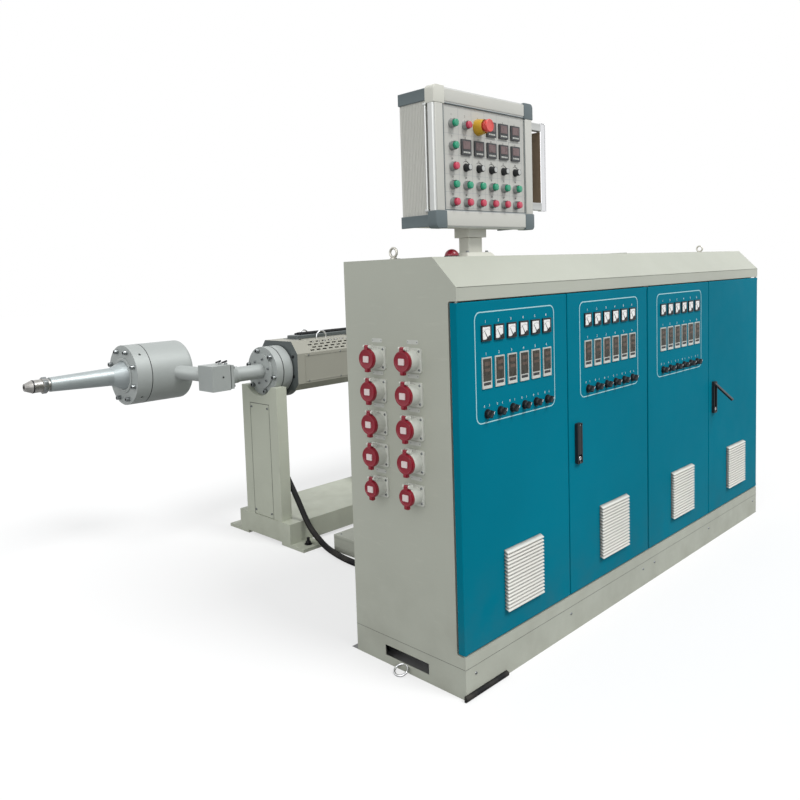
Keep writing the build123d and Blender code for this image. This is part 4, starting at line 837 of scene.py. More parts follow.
def corners(first: float, second: float, wide: float, high: float) -> list[Flat]:
    """The four corners of a rectangle, from its middle and its half sizes."""
    return [(first + across * wide, second + up * high) for across in (-1, 1) for up in (-1, 1)]


def outline(low: Flat, high: Flat, width: float) -> list[tuple[Flat, Flat]]:
    """Four bars of one width along the inside of a rectangle."""
    (x0, z0), (x1, z1) = low, high
    return [
        ((x0, z0), (x0 + width, z1)),
        ((x1 - width, z0), (x1, z1)),
        ((x0, z0), (x1, z0 + width)),
        ((x0, z1 - width), (x1, z1)),
    ]


def bars(spans: Iterable[tuple[Flat, Flat]], front: float, back: float, finish: object) -> list[Piece]:
    """Makes painted boxes that share their depth.

    Args:
        spans: the lowest and highest X and Z of each.
        front: where they start along Y.
        back: where they end along Y.
        finish: of all.

    Returns:
        The boxes.
    """
    return [Piece.block((x0, front, z0), (x1, back, z1)).paint(finish) for (x0, z0), (x1, z1) in spans]


def printed_frame(low: Flat, high: Flat, depths: Flat, radius: float, segments: int, width: float) -> Piece:
    """Makes a printed rounded frame that faces the front.

    Args:
        low: its lowest X and Z.
        high: its highest X and Z.
        depths: where its ink starts and ends along Y.
        radius: of its corners.
        segments: of each corner.
        width: of its line.

    Returns:
        The frame.
    """
    (x0, z0), (x1, z1) = low, high
    frame = Piece.block((x0, depths[0], z0), (x1, depths[1], z1))
    frame.bevel_edges(running(Axis.BACK, (depths[1] - depths[0]) / 2), radius, segments)
    frame.inset(FRONT_FACE, width)
    frame.drop(central(Axis.FRONT, Vector(((x0 + x1) / 2, 0, (z0 + z1) / 2)), 0.01))
    return frame.drop(towards(Axis.BACK))


def printed(word: str, place: Sequence[float], size: float) -> Piece:
    """Makes a flat number that faces the front.

    Args:
        word: the characters.
        place: middle of the word.
        size: height of its letters' body.

    Returns:
        The number as a mesh.
    """
    bpy.ops.object.select_all(action="DESELECT")
    bpy.ops.object.text_add(location=place, rotation=(pi / 2, 0, 0))
    text = bpy.context.active_object.data
    text.body = word
    text.size = size
    text.align_x = "CENTER"
    text.align_y = "CENTER"
    text.resolution_u = 2
    text.extrude = 0.00012
    bpy.ops.object.convert(target="MESH")
    return Piece.taken()


def middle_of(node: str) -> Vector:
    """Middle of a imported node's box."""
    low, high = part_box(node)
    return (low + high) / 2


def dress(node: str, finish: object, other: object | None = None, where: FaceTest | None = None) -> None:
    """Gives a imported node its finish.

    Args:
        node: its name.
        finish: for all of it.
        other: a second finish, where it has one.
        where: says which faces take the second one, from their middle and normal.
    """
    mesh = NODES[node].data
    mesh.materials.clear()
    for each in (finish, other):
        if each is not None:
            mesh.materials.append(Finishes.material(each))
    for face in mesh.polygons:
        second = where is not None and where(face.center, face.normal)
        face.material_index = 1 if second else 0


def circle_places(centre: Sequence[float], radius: float, count: int, first: float) -> list[Vector]:
    """Places spaced evenly round a line along X, first being the angle from +Y towards +Z."""
    angles = [radians(first + 360 * index / count) for index in range(count)]
    return [Vector(centre) + Vector((0, cos(a) * radius, sin(a) * radius)) for a in angles]


@dataclass(frozen=True)
class Fasteners:
    """Screws, bolts and nuts, each modelled once for every place that it goes.

    The sizes are shares of a head's radius.
    """

    dome_rise: float = 0.55
    socket: float = 0.56
    recess_shade: float = 0.58

    def cap_screws(
        self, name: str, radius: float, height: float, places: Iterable[Sequence[float]],
        way: Axis, slot: str = "machined_steel",
    ) -> None:
        """Puts cylinder-head screws with hexagon sockets in place.

        Args:
            name: of the joined piece.
            radius: of a head.
            height: of a head.
            places: of their seats.
            way: that they face.
            slot: their material slot.
        """
        head = Piece.rod((0, 0, 0), Axis.UP, radius, height, 24)
        head.cut(Piece.rod((0, 0, height * 0.45), Axis.UP, radius * self.socket, height, 6))
        head.bevel_edges(
            lambda spot, edge: spot.z > height * 0.9 and hypot(spot.x, spot.y) > radius * 0.9,
            radius * 0.14,
            2,
        )
        self.place(name, head, places, way, slot)

    def hex_bolts(
        self, name: str, radius: float, height: float, places: Iterable[Sequence[float]],
        way: Axis, slot: str, finish: object = Finishes.BOLT,
    ) -> None:
        """Puts hexagon bolt heads on washers in place.

        Args:
            name: of the joined piece.
            radius: of a head.
            height: of a head.
            places: of their seats.
            way: that they face.
            slot: their material slot.
            finish: of the steel.
        """
        washer = Piece.rod((0, 0, 0), Axis.UP, radius * 1.45, height * 0.22, 24)
        head = Piece.rod((0, 0, height * 0.22), Axis.UP, radius, height, 6)
        self.place(name, join([washer, head.rounded(radius * 0.08)]), places, way, slot, finish=finish)

    def dome_screws(
        self, name: str, radius: float, places: Iterable[Sequence[float]], way: Axis, body: str = MACHINE
    ) -> None:
        """Puts small domed screws with a cross in place.

        Args:
            name: of the joined piece.
            radius: of a head.
            places: of their seats.
            way: that they face.
            body: that they move with.
        """
        height, arm, slot = radius * self.dome_rise, radius * 0.6, radius * 0.11
        head = Piece.rod((0, 0, 0), Axis.UP, radius, height, 16, end_radius=radius * 0.72)
        for across, along in ((arm, slot), (slot, arm)):
            head.cut(Piece.block((-across, -along, height * 0.5), (across, along, height * 2)))
        self.place(name, head, places, way, "zinc_plate", body)

    def place(
        self, name: str, head: Piece, places: Iterable[Sequence[float]], way: Axis, slot: str,
        body: str = MACHINE, finish: object = Finishes.BOLT,
    ) -> None:
        """Puts one head at each place and joins them into one piece.

        Args:
            name: of the joined piece.
            head: its seat at the origin and +Z outwards.
            places: of the seats.
            way: that the heads face.
            slot: their material slot.
            body: that they move with.
            finish: of the steel.
        """
        points = head.paint(finish).obj.data.vertices
        top, wide = (max(getattr(point.co, axis) for point in points) for axis in "zx")
        # Faces inside a socket or slot take black as painted shade.
        head.shade(
            Finishes.BLACK,
            lambda spot, normal: 0 < spot.z < top * 0.95 and hypot(spot.x, spot.y) < wide * self.recess_shade,
        )
        turn = way.vector.to_track_quat("Z", "Y").to_matrix().to_4x4()
        twins = head.copies(Matrix.Translation(place) @ turn for place in places)
        mount(name, twins, slot, body)


FASTENERS = Fasteners()


@dataclass
class Studio:
    """Camera, lamps, world and floor.

    The camera's stand is measured from the plinth's corner. Turns are in degrees.
    """

    stand: Point = (-1.7394, -1.3841, 1.2976)
    turn: Point = (85.3474, 2.201, -42.6428)
    lens: float = 34.17
    shift: tuple[float, float] = (0.0788, -0.0791)
    floor_size: float = 60.0
    sky: float = 0.56
    key_turn: Point = (38.0, 0.0, 12.0)
    key_power: float = 2.15
    fill_turn: Point = (66.0, 0.0, -76.0)
    fill_power: float = 1.05
    floor_bounce_and_shade: float = 0.36
    floor_glow: float = 0.62

    def camera(self) -> None:
        """Stands the camera where the photograph was taken."""
        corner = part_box("plinth")[0]
        lens = bpy.data.cameras.new("camera")
        lens.lens = self.lens
        lens.sensor_width = 36.0
        lens.shift_x, lens.shift_y = self.shift
        lens.clip_end = 200.0
        stand = bpy.data.objects.new("camera", lens)
        stand.location = Vector((corner.x, corner.y, 0)) + Vector(self.stand)
        stand.rotation_euler = Euler([radians(angle) for angle in self.turn], "XYZ")
        bpy.context.scene.collection.objects.link(stand)
        bpy.context.scene.camera = stand

    def lamp(self, name: str, turn: Point, power: float, softness: float) -> None:
        """Adds a wide soft lamp that shines from far away."""
        light = bpy.data.lights.new(name, "SUN")
        light.energy = power
        light.angle = radians(softness)
        holder = bpy.data.objects.new(name, light)
        holder.rotation_euler = Euler([radians(angle) for angle in turn], "XYZ")
        bpy.context.scene.collection.objects.link(holder)

    def world(self) -> None:
        """Pale sky that lights evenly and is white where it is looked at."""
        world = bpy.data.worlds.new("studio")
        world.use_nodes = True
        bpy.context.scene.world = world
        tree = world.node_tree
        tree.nodes.clear()
        path = tree.nodes.new("ShaderNodeLightPath")
        light = tree.nodes.new("ShaderNodeBackground")
        light.inputs["Color"].default_value = (0.97, 0.99, 1.0, 1.0)
        light.inputs["Strength"].default_value = self.sky
        white = tree.nodes.new("ShaderNodeBackground")
        white.inputs["Color"].default_value = (1.0, 1.0, 1.0, 1.0)
        white.inputs["Strength"].default_value = 1.0
        seen = None
        for ray in ("Is Camera Ray", "Is Glossy Ray", "Is Transmission Ray"):
            step = tree.nodes.new("ShaderNodeMath")
            step.operation = "MAXIMUM"
            tree.links.new(path.outputs[ray], step.inputs[0])
            step.inputs[1].default_value = 0.0
            if seen is not None:
                tree.links.new(seen, step.inputs[1])
            seen = step.outputs[0]
        mix = tree.nodes.new("ShaderNodeMixShader")
        tree.links.new(seen, mix.inputs[0])
        tree.links.new(light.outputs[0], mix.inputs[1])
        tree.links.new(white.outputs[0], mix.inputs[2])
        output = tree.nodes.new("ShaderNodeOutputWorld")
        tree.links.new(mix.outputs[0], output.inputs["Surface"])

    def floor(self) -> None:
        """Plain pale floor that keeps the machine's shadow, with painted shade on it under the plinth."""
        bpy.ops.object.select_all(action="DESELECT")
        bpy.ops.mesh.primitive_plane_add(size=self.floor_size, location=(0, 0, 0))
        ground = bpy.context.active_object
        ground.name = "floor"
        recipe = Recipe("pale_floor")
        low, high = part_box("plinth")
        middle, half = (low + high) / 2, (high - low) / 2
        beside = (recipe.size_of(recipe.along("X") - middle.x) > half.x) + (
            recipe.size_of(recipe.along("Y") - middle.y) > half.y
        )
        camera = recipe.node("ShaderNodeLightPath", out="Is Camera Ray")
        # Under the plinth the floor loses its glow and shows the dark bounce tone to the camera, as painted
        # shade.
        seen = camera * beside.span(0.0, 1.0) * self.floor_glow
        cloud = recipe.noise(0.6, 3.0)
        pale = recipe.mix(cloud, (0.86, 0.86, 0.86, 1), (0.9, 0.9, 0.9, 1))
        shade = recipe.mix(camera * beside.span(0.0, 1.0), (self.floor_bounce_and_shade,) * 3 + (1,), pale)
        matt = recipe.node("ShaderNodeBsdfDiffuse", {}, {"Color": shade})
        glow = recipe.node("ShaderNodeEmission", {}, {"Strength": 1.0})
        both = recipe.node("ShaderNodeMixShader", {}, {0: seen, 1: matt, 2: glow})
        recipe.tree.links.new(both.socket, recipe.output.inputs["Surface"])
        ground.data.materials.append(recipe.material)

    def build(self) -> None:
        """Sets the view and the light."""
        scene = bpy.context.scene
        scene.view_settings.view_transform = "Standard"
        self.camera()
        self.world()
        self.lamp("key", self.key_turn, self.key_power, 24.0)
        self.lamp("fill", self.fill_turn, self.fill_power, 60.0)
        self.floor()
        LOG.info("studio")


@dataclass
class PowerCable:
    """Cable from the stand's junction box down to the back of the plinth.

    Its route is measured from the plinth's corner.
    """

    radius: float = 0.014
    length: float = 1.338
    nut_radius: float = 0.0215
    nut_height: float = 0.014
    route: tuple[Point, ...] = (
        (0.552, 1.572, 0.470),
        (0.552, 1.572, 0.410),
        (0.551, 1.549, 0.352),
        (0.549, 1.513, 0.304),
        (0.549, 1.474, 0.252),
        (0.552, 1.437, 0.193),
        (0.554, 1.403, 0.135),
        (0.558, 1.368, 0.084),
        (0.564, 1.325, 0.046),
        (0.557, 1.262, 0.019),
        (0.540, 1.188, 0.014),
        (0.521, 1.104, 0.014),
        (0.514, 1.015, 0.014),
        (0.515, 0.915, 0.014),
        (0.523, 0.805, 0.014),
        (0.530, 0.695, 0.014),
        (0.535, 0.610, 0.025),
        (0.536, 0.560, 0.030),
        (0.536, 0.500, 0.030),
    )

    def build(self) -> None:
        """Lays the cable and tightens its two gland nuts."""
        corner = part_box("plinth")[0]
        points = [Vector(point) + Vector((corner.x, corner.y, 0)) for point in self.route]
        curve = bpy.data.curves.new("power_cord", "CURVE")
        curve.dimensions = "3D"
        curve.bevel_depth = self.radius
        curve.bevel_resolution = 6
        curve.resolution_u = 10
        curve.use_fill_caps = True
        line = curve.splines.new("NURBS")
        line.points.add(len(points) - 1)
        for control, point in zip(line.points, points):
            control.co = (*point, 1.0)
        line.order_u = 3
        line.use_endpoint_u = True
        cable = bpy.data.objects.new("power_cord", curve)
        bpy.context.scene.collection.objects.link(cable)
        curve.materials.append(Finishes.material(Finishes.RUBBER))
        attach(cable, MACHINE)
        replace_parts(cable, "power_cable")
        nuts = []
        for end, way in ((points[0], Axis.DOWN), (points[-1], Axis.BACK)):
            start = end - way.vector * (self.nut_height + 0.004)
            nut = Piece.rod(start, way, self.nut_radius * 1.12, self.nut_height, 6)
            nuts.append(nut.rounded(0.001).paint(Finishes.BLACK))
            sleeve = Piece.rod(
                end - way.vector * 0.006, way, self.nut_radius * 0.86, 0.030, 24,
                end_radius=self.radius * 1.08,
            )
            nuts.append(sleeve.paint(Finishes.BLACK))
        mount("cable_gland_nuts", nuts, "handle_plastic")


@dataclass
class Cabinet:
    """Painted carcass, its plinth, lifting eyes and the small parts fixed to them.

    The dome is a radius and a height, the ring a radius and its wire, the strip a length, a reach and
    a height, and a grille half its width and how far its top and foot are below the roof.
    """

    bay: float = 1.2
    dome_place: tuple[float, float] = (0.190, 0.165)
    dome: tuple[float, float] = (0.023, 0.022)
    ring: tuple[float, float] = (0.0235, 0.0036)
    strip: Point = (0.205, 0.012, 0.018)
    seam: float = 0.0003
    grille: Point = (0.13, 0.08, 0.32)
    rails: int = 3
    rail_rise: float = 0.20
    rail_pitch: float = 0.28
    device_pitch: float = 0.058
    lids: int = 3
    low: Vector = field(init=False)
    high: Vector = field(init=False)

    def __post_init__(self) -> None:
        """Reads the carcass's corners from the frame."""
        self.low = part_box("plinth")[0]
        self.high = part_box("cabinet_right_wall")[1]

    def build(self) -> None:
        """Dresses the carcass and adds its fittings."""
        walls = ("cabinet_left_wall", "cabinet_right_wall", "cabinet_back_wall", "cabinet_roof")
        for node in (*walls, "door_frame", "cable_trunk"):
            dress(node, Finishes.CABINET)
        # The plinth's inside faces take black as painted shade.
        near, far, skin = self.low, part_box("plinth")[1], 0.002
        dress(
            "plinth", Finishes.CABINET, Finishes.BLACK,
            lambda spot, normal: near.x + skin < spot.x < far.x - skin
            and near.y + skin < spot.y < far.y - skin,
        )
        dress("mounting_plates", Finishes.ZINC)
        dress("lifting_eyes", Finishes.ZINC)
        self.beacon()
        self.plinth_fittings()
        self.back_panels()
        self.roof_fittings()
        self.trunk_lids()
        self.switchgear()

    def beacon(self) -> None:
        """Small crimson dome on the roof beside the neck."""
        radius, height = self.dome
        foot = Vector((self.low.x + self.dome_place[0], self.low.y + self.dome_place[1], self.high.z))
        base = Piece.rod(foot, Axis.UP, radius * 1.08, 0.005, 36)
        base.rounded(0.0012).paint(Finishes.BLACK)
        centre = foot + Vector((0, 0, 0.004))
        dome = Piece.ball(centre, radius, 16)
        dome.drop(lambda middle, normal: middle.z < foot.z + 0.003)
        with dome.editing(Pick.POINTS):
            bpy.ops.transform.resize(value=(1, 1, height / radius), center_override=tuple(centre))
        dome.modify("SOLIDIFY", thickness=0.002, offset=-1.0)
        mount("roof_dome", [base, dome.paint(Finishes.CRIMSON)], "lid_plastic")

    def plinth_fittings(self) -> None:
        """Ring in the fork slot, joints over the plinth, rubber strip and screws."""
        x, y = self.low.x, self.low.y
        far, top, half = self.high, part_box("plinth")[1].z, self.seam
        ring = Piece.ring((x - 0.018, y + 0.250, 0.010), Vector((-0.42, 0, 0.91)), *self.ring)
        lowest = min(vertex.co.z for vertex in ring.obj.data.vertices)
        ring.obj.data.transform(Matrix.Translation((0, 0, -lowest)))
        ring.paint(Finishes.CHROME).ride("plinth_ring", "zinc_plate")
        seams = [
            ((end - half, y + 0.001, top - 0.0008), (end + half, far.y, top + 0.0006))
            for end in (x, far.x)
        ]
        seams.append(((x, y - half, top - 0.0008), (far.x, y + half, top + 0.0006)))
        lines = [Piece.block(*ends).paint(Finishes.SEAM) for ends in seams]
        mount("plinth_seams", lines, "cabinet_paint")
        length, reach, height = self.strip
        strip = Piece.block((x - 0.010, y - reach, 0), (x + length, y, height))
        strip.bevel_edges(lambda middle, way: middle.y < y - 0.01 and abs(way.x) > 0.1, 0.009, 5)
        strip.bevel_edges(lambda middle, way: middle.x > x + 0.2 and abs(way.y) > 0.005, 0.006, 4)
        strip.paint(Finishes.RUBBER).ride("rubber_strip", "cable_rubber")
        places = [
            (x + bay * self.bay + offset, y, 0.070)
            for bay in range(2)
            for offset in (0.05, self.bay / 2, self.bay - 0.05)
        ]
        FASTENERS.dome_screws("plinth_screws", 0.005, places, Axis.FRONT)

    def back_panels(self) -> None:
        """Screws round the raised back panels, and an outlet grille on each."""
        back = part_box("cabinet_back_wall")[1].y
        half, top, foot = self.grille
        low, high = self.low.z + 0.158, self.high.z - 0.063
        screws: list[Point] = []
        slats: list[Piece] = []
        for bay in range(2):
            left = self.low.x + bay * self.bay + 0.063
            right = left + self.bay - 0.126
            for share in (0, 0.2, 0.4, 0.6, 0.8, 1):
                x, z = left + (right - left) * share, low + (high - low) * share
                screws += [(x, back, low), (x, back, high)]
                if 0 < share < 1:
                    screws += [(left, back, z), (right, back, z)]
            centre, roof = (left + right) / 2, self.high.z
            plate = Piece.block(
                (centre - half, back, roof - foot - 0.045), (centre + half, back + 0.004, roof - top - 0.045)
            )
            slats.append(plate.rounded(0.0015).paint(Finishes.CABINET))
            base = roof - foot - 0.025
            slat = Piece.block(
                (centre - 0.11, back + 0.003, base), (centre + 0.11, back + 0.011, base + 0.004)
            )
            slat.extrude(towards(Axis.BACK), (0, 0.002, -0.007)).paint(Finishes.CABINET)
            slats += slat.copies(Matrix.Translation((0, 0, 0.016 * row)) for row in range(13))
        mount("back_grilles", slats, "cabinet_paint")
        FASTENERS.dome_screws("back_screws", 0.0055, screws, Axis.BACK)

    def roof_fittings(self) -> None:
        """Joint between the two bays over the roof, and the eyes' sealing washers."""
        seam_x = self.low.x + self.bay
        roof_low, roof_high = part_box("cabinet_roof")
        top = roof_high.z
        cap = Piece.block(
            (seam_x - 0.009, roof_low.y + 0.087, top), (seam_x + 0.009, roof_high.y, top + 0.0025)
        )
        cap.rounded(0.0009).paint(Finishes.CABINET).ride("roof_seam", "cabinet_paint")
        low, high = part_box("lifting_eyes")
        washers = [
            Piece.rod((x, (low.y + high.y) / 2, top), Axis.UP, 0.0165, 0.0018, 32).paint(Finishes.RUBBER)
            for x in (low.x + 0.018, high.x - 0.018)
        ]
        mount("eye_washers", washers, "cable_rubber")

    def trunk_lids(self) -> None:
        """Lids and their screws on the floor trunk."""
        low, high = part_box("cable_trunk")
        run = (high.y - low.y) / self.lids
        lids, places = [], []
        for index in range(self.lids):
            start = low.y + index * run
            lid = Piece.block(
                (low.x - 0.003, start + 0.002, high.z - 0.012),
                (high.x + 0.003, start + run - 0.002, high.z + 0.002),
            )
            lids.append(lid.rounded(0.0012).paint(Finishes.CABINET))
            for y in (start + 0.12 * run, start + 0.88 * run):
                places += [(x, y, high.z + 0.002) for x in (low.x + 0.02, high.x - 0.02)]
        mount("trunk_lids", lids, "cabinet_paint")
        FASTENERS.dome_screws("trunk_screws", 0.005, places, Axis.UP)

    def switchgear(self) -> None:
        """Rails with contactors and wiring ducts on the mounting plates, seen when doors open."""
        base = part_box("mounting_plates")[0]
        parts: list[Piece] = []
        for bay in range(2):
            left = self.low.x + bay * self.bay + 0.09
            right = left + self.bay - 0.18
            for row in range(self.rails):
                z, y = base.z + self.rail_rise + row * self.rail_pitch, base.y
                rail = Piece.block((left, y - 0.008, z - 0.0175), (right, y, z + 0.0175))
                duct = Piece.block((left, y - 0.045, z + 0.075), (right, y, z + 0.115))
                device = Piece.block(
                    (left + 0.02, y - 0.062, z - 0.042), (left + 0.065, y - 0.006, z + 0.042)
                )
                parts.append(rail.inset(FRONT_FACE, 0.006, -0.005).paint(Finishes.ZINC))
                parts.append(duct.inset(FRONT_FACE, 0.003, -0.002).paint(Finishes.PALE))
                device.inset(FRONT_FACE, 0.010, 0.012).rounded(0.0012)
                device.paint(Finishes.CASE if row else Finishes.PALE)
                count = 14 if row else 9
                parts += device.copies(steps((self.device_pitch, 0, 0), count))
        mount("switchgear", parts, "zinc_plate")


@dataclass
class Sockets:
    """Panel sockets on the cabinet's end, with blank labels on their sprung lids.

    The label is half a width and half a height, and the plate above a socket a width and a height.
    """

    count: int = 10
    tab_drop: float = 0.009
    pin_rise: float = 0.012
    label: tuple[float, float] = (0.0115, 0.0100)
    plate: tuple[float, float] = (0.046, 0.013)
    pins: int = 5

    def centre(self, index: int) -> tuple[float, float, float]:
        """Middle of a lid's round part across the end wall, and its radius."""
        low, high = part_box(f"socket_lid_{index}")
        bottom, top = low.z + self.tab_drop, high.z - self.pin_rise
        return (low.y + high.y) / 2, (bottom + top) / 2, (top - bottom) / 2

    def build(self) -> None:
        """Dresses the sockets and adds rims, labels, black discs as painted shade in the contact holes,
        plates and screws.
        """
        dress("socket_bodies", Finishes.SLEEVE)
        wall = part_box("plinth")[0].x
        screws: list[Point] = []
        plates: list[Piece] = []
        hole_shades: list[Piece] = []
        for index in range(1, self.count + 1):
            dress(f"socket_lid_{index}", Finishes.CRIMSON)
            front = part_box(f"socket_lid_{index}")[0].x
            y, z, radius = self.centre(index)
            flange = (0.076 if radius > 0.03 else 0.066) / 2 - 0.009
            screws += [(wall - 0.006, *place) for place in corners(y, z, flange, flange)]
            self.lid(index, front, y, z, radius)
            hole_shades += self.contacts(front + 0.0093, y, z, radius * 0.52)
            width, height = self.plate
            foot, face = z + radius + 0.0165, wall - 0.0012
            plate = Piece.block((face, y - width / 2, foot), (wall, y + width / 2, foot + height))
            plates.append(plate.bevel_edges(running(Axis.LEFT, 0.001), 0.004, 3).paint(Finishes.PALE))
            for side in (-0.0185, 0.0185):
                rivet = Piece.rod((face, y + side, foot + 0.0065), Axis.LEFT, 0.0017, 0.0008, 10)
                plates.append(rivet.paint(Finishes.BOLT))
        mount("socket_plates", plates, "pale_plastic")
        mount("socket_hole_shades", hole_shades, "socket_plastic")
        FASTENERS.dome_screws("socket_screws", 0.0042, screws, Axis.LEFT)

    def lid(self, index: int, front: float, y: float, z: float, radius: float) -> None:
        """Puts the trim on one lid: a raised rim, a finger rib, an arch and a blank label.

        Args:
            index: the lid's number.
            front: its outer face, along X.
            y: middle of its round part.
            z: middle of its round part.
            radius: of its round part.
        """
        rim = Piece.rod((front + 0.0005, y, z), Axis.LEFT, radius - 0.0015, 0.0028, 40)
        rim.inset(towards(Axis.LEFT), 0.0035)
        rim.inset(central(Axis.LEFT, Vector((front, y, z)), 0.002), 0.0012, -0.0018)
        rim.rounded(0.0005, 2).paint(Finishes.CRIMSON)
        width, height = self.label
        label = Piece.block((front - 0.0036, y - width, z - height), (front - 0.0003, y + width, z + height))
        label.bevel_edges(running(Axis.LEFT, 0.0002), 0.002, 2).paint(Finishes.LABEL)
        foot, top = z - radius, z + radius
        rib = Piece.block((front - 0.003, y - 0.006, foot - 0.007), (front + 0.001, y + 0.006, foot + 0.002))
        arch = Piece.block((front - 0.002, y - 0.0075, top - 0.004), (front + 0.001, y + 0.0075, top + 0.005))
        trim = [rim, label, *(part.rounded(0.0009).paint(Finishes.CRIMSON) for part in (rib, arch))]
        mount(f"lid_{index}_trim", trim, "lid_plastic", f"lid_{index}")

    def contacts(self, face: float, y: float, z: float, circle: float) -> list[Piece]:
        """Black discs in a circle as painted shade in the contact holes, which show when the lid is up."""
        hole = Piece.rod((face, y, z), Axis.RIGHT, 0.0034, 0.0008, 14).paint(Finishes.BLACK)
        angles = [2 * pi * index / self.pins for index in range(self.pins)]
        return hole.copies(Matrix.Translation((0, cos(a) * circle, sin(a) * circle)) for a in angles)


class Side(Enum):
    """Which edge a door hangs on."""

    LEFT = 1
    RIGHT = -1


@dataclass
class Door:
    """One door leaf with its instruments, filter cover and printed frame line.

    The line's margins are to the left, to the right, above and below. The gasket is its inset, its
    width and how far behind the leaf's front it ends. Turns are in degrees.
    """

    number: int
    pitch: float = 0.0665
    count: int = 6
    controller_drop: float = 0.121
    line_margin: tuple[float, float, float, float] = (0.055, 0.0485, 0.066, 0.028)
    line_width: float = 0.0034
    line_radius: float = 0.026
    slats: int = 17
    dial_half: float = 0.024
    controller_half: tuple[float, float] = (0.024, 0.048)
    ammeter_proud: float = 0.0028
    controller_proud: float = 0.0022
    selector_turn: float = 38.0
    needle_turn: float = -34.0
    gasket: Point = (0.020, 0.010, 0.024)
    low: Vector = field(init=False)
    high: Vector = field(init=False)

    def __post_init__(self) -> None:
        """Reads the leaf's corners from the frame."""
        self.low, self.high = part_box(self.name())

    def name(self, part: str = "") -> str:
        """A name that starts with this door's."""
        return f"door_{self.number}_{part}" if part else f"door_{self.number}"

    def mount(self, part: str, pieces: Iterable[Piece], slot: str) -> bpy.types.Object:
        """Joins pieces into one part of this door and puts it on the leaf."""
        return mount(self.name(part), pieces, slot, f"door_leaf_{self.number}")

    def repeat(self, part: str, pieces: Iterable[Piece], turn: float = 0.0) -> bpy.types.Object:
        """Repeats an instrument made at the row's first place along the row.

        Args:
            part: name of the row.
            pieces: of one instrument.
            turn: degrees that it is turned about its own middle.

        Returns:
            The finished row.
        """
        one = join(pieces)
        one.obj.data.transform(spin((self.columns()[0], 0, self.rows()[2]), turn, "Y"))
        row = one.copies(steps((self.pitch, 0, 0), self.count))
        return self.mount(part, row, "instrument_plastic")

    def build(self) -> None:
        """Dresses the leaf and adds what it carries."""
        dress(self.name(), Finishes.DOOR)
        self.filter_cover()
        self.hinges()
        self.foam_strip()
        if self.name("instruments") in NODES:
            self.frame_line()
            self.ammeters()
            self.controllers()
            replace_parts(self.selectors(), self.name("instruments"))
            self.zone_numbers()
        if self.name("handle_plate") in NODES:
            self.handle()

    def columns(self) -> list[float]:
        """Middle of each instrument column."""
        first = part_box(self.name("instruments"))[0].x + self.dial_half
        return [first + self.pitch * index for index in range(self.count)]

    def rows(self) -> tuple[float, float, float]:
        """Heights of the ammeters, controllers and selectors."""
        low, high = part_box(self.name("instruments"))
        ammeter = high.z - self.dial_half
        return ammeter, ammeter - self.controller_drop, low.z + 0.0145

    def filter_cover(self) -> None:
        """Sloping slats over the filter, open at both ends."""
        node = self.name("filter_cover")
        low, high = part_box(node)
        skin, pitch = self.low.y, (high.z - low.z) / self.slats
        louvre = Louvre("louvre_plastic", low.y, skin)
        slat = Piece.block((low.x, skin - 0.002, low.z + pitch * 0.52), (high.x, skin, low.z + pitch * 0.98))
        slat.extrude(FRONT_FACE, (0, low.y - skin + 0.002, -pitch * 0.5))
        slat.taper(towards(Axis.FRONT, 0.5), (1, 1, 0.72), (0, low.y, low.z + pitch * 0.02))
        slats = slat.rounded(0.0007).paint(louvre).copies(steps((0, 0, pitch), self.slats))
        plate = Piece.block(
            (low.x + 0.004, skin - 0.0022, low.z + 0.002), (high.x - 0.004, skin, high.z - 0.002)
        )
        slats.append(plate.inset(FRONT_FACE, 0.004, -0.0006).paint(louvre))
        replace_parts(self.mount("louvre", slats, "pale_plastic"), node)

    def hinges(self) -> None:
        """Hinge caps at the edge that the leaf hangs on."""
        side = Side.LEFT if self.number % 2 else Side.RIGHT
        x = (self.low.x if side is Side.LEFT else self.high.x) + side.value * 0.007
        caps = [
            Piece.rod((x, self.low.y + 0.007, z), Axis.UP, 0.0062, 0.020, 16)
            for z in (self.low.z, self.high.z - 0.020)
        ]
        self.mount("hinge_caps", [cap.rounded(0.0008).paint(Finishes.DOOR) for cap in caps], "door_paint")

    def foam_strip(self) -> None:
        """Foam strip round the inside of the leaf."""
        inset, width, back = self.gasket
        near, far = self.low, self.high
        spans = outline((near.x + inset, near.z + inset), (far.x - inset, far.z - inset), width)
        strips = bars(spans, near.y + 0.003, near.y + back, Finishes.RUBBER)
        self.mount("gasket", strips, "cable_rubber")

    def frame_line(self) -> None:
        """Printed rounded line round the instruments."""
        columns, (top, _, bottom) = self.columns(), self.rows()
        left, right, above, below = self.line_margin
        line = printed_frame(
            (columns[0] - left, bottom - below), (columns[-1] + right, top + above),
            (self.low.y - 0.0004, self.low.y - 0.00005), self.line_radius, 8, self.line_width,
        )
        self.mount("line", [line.paint(Finishes.LINE)], "pale_plastic")

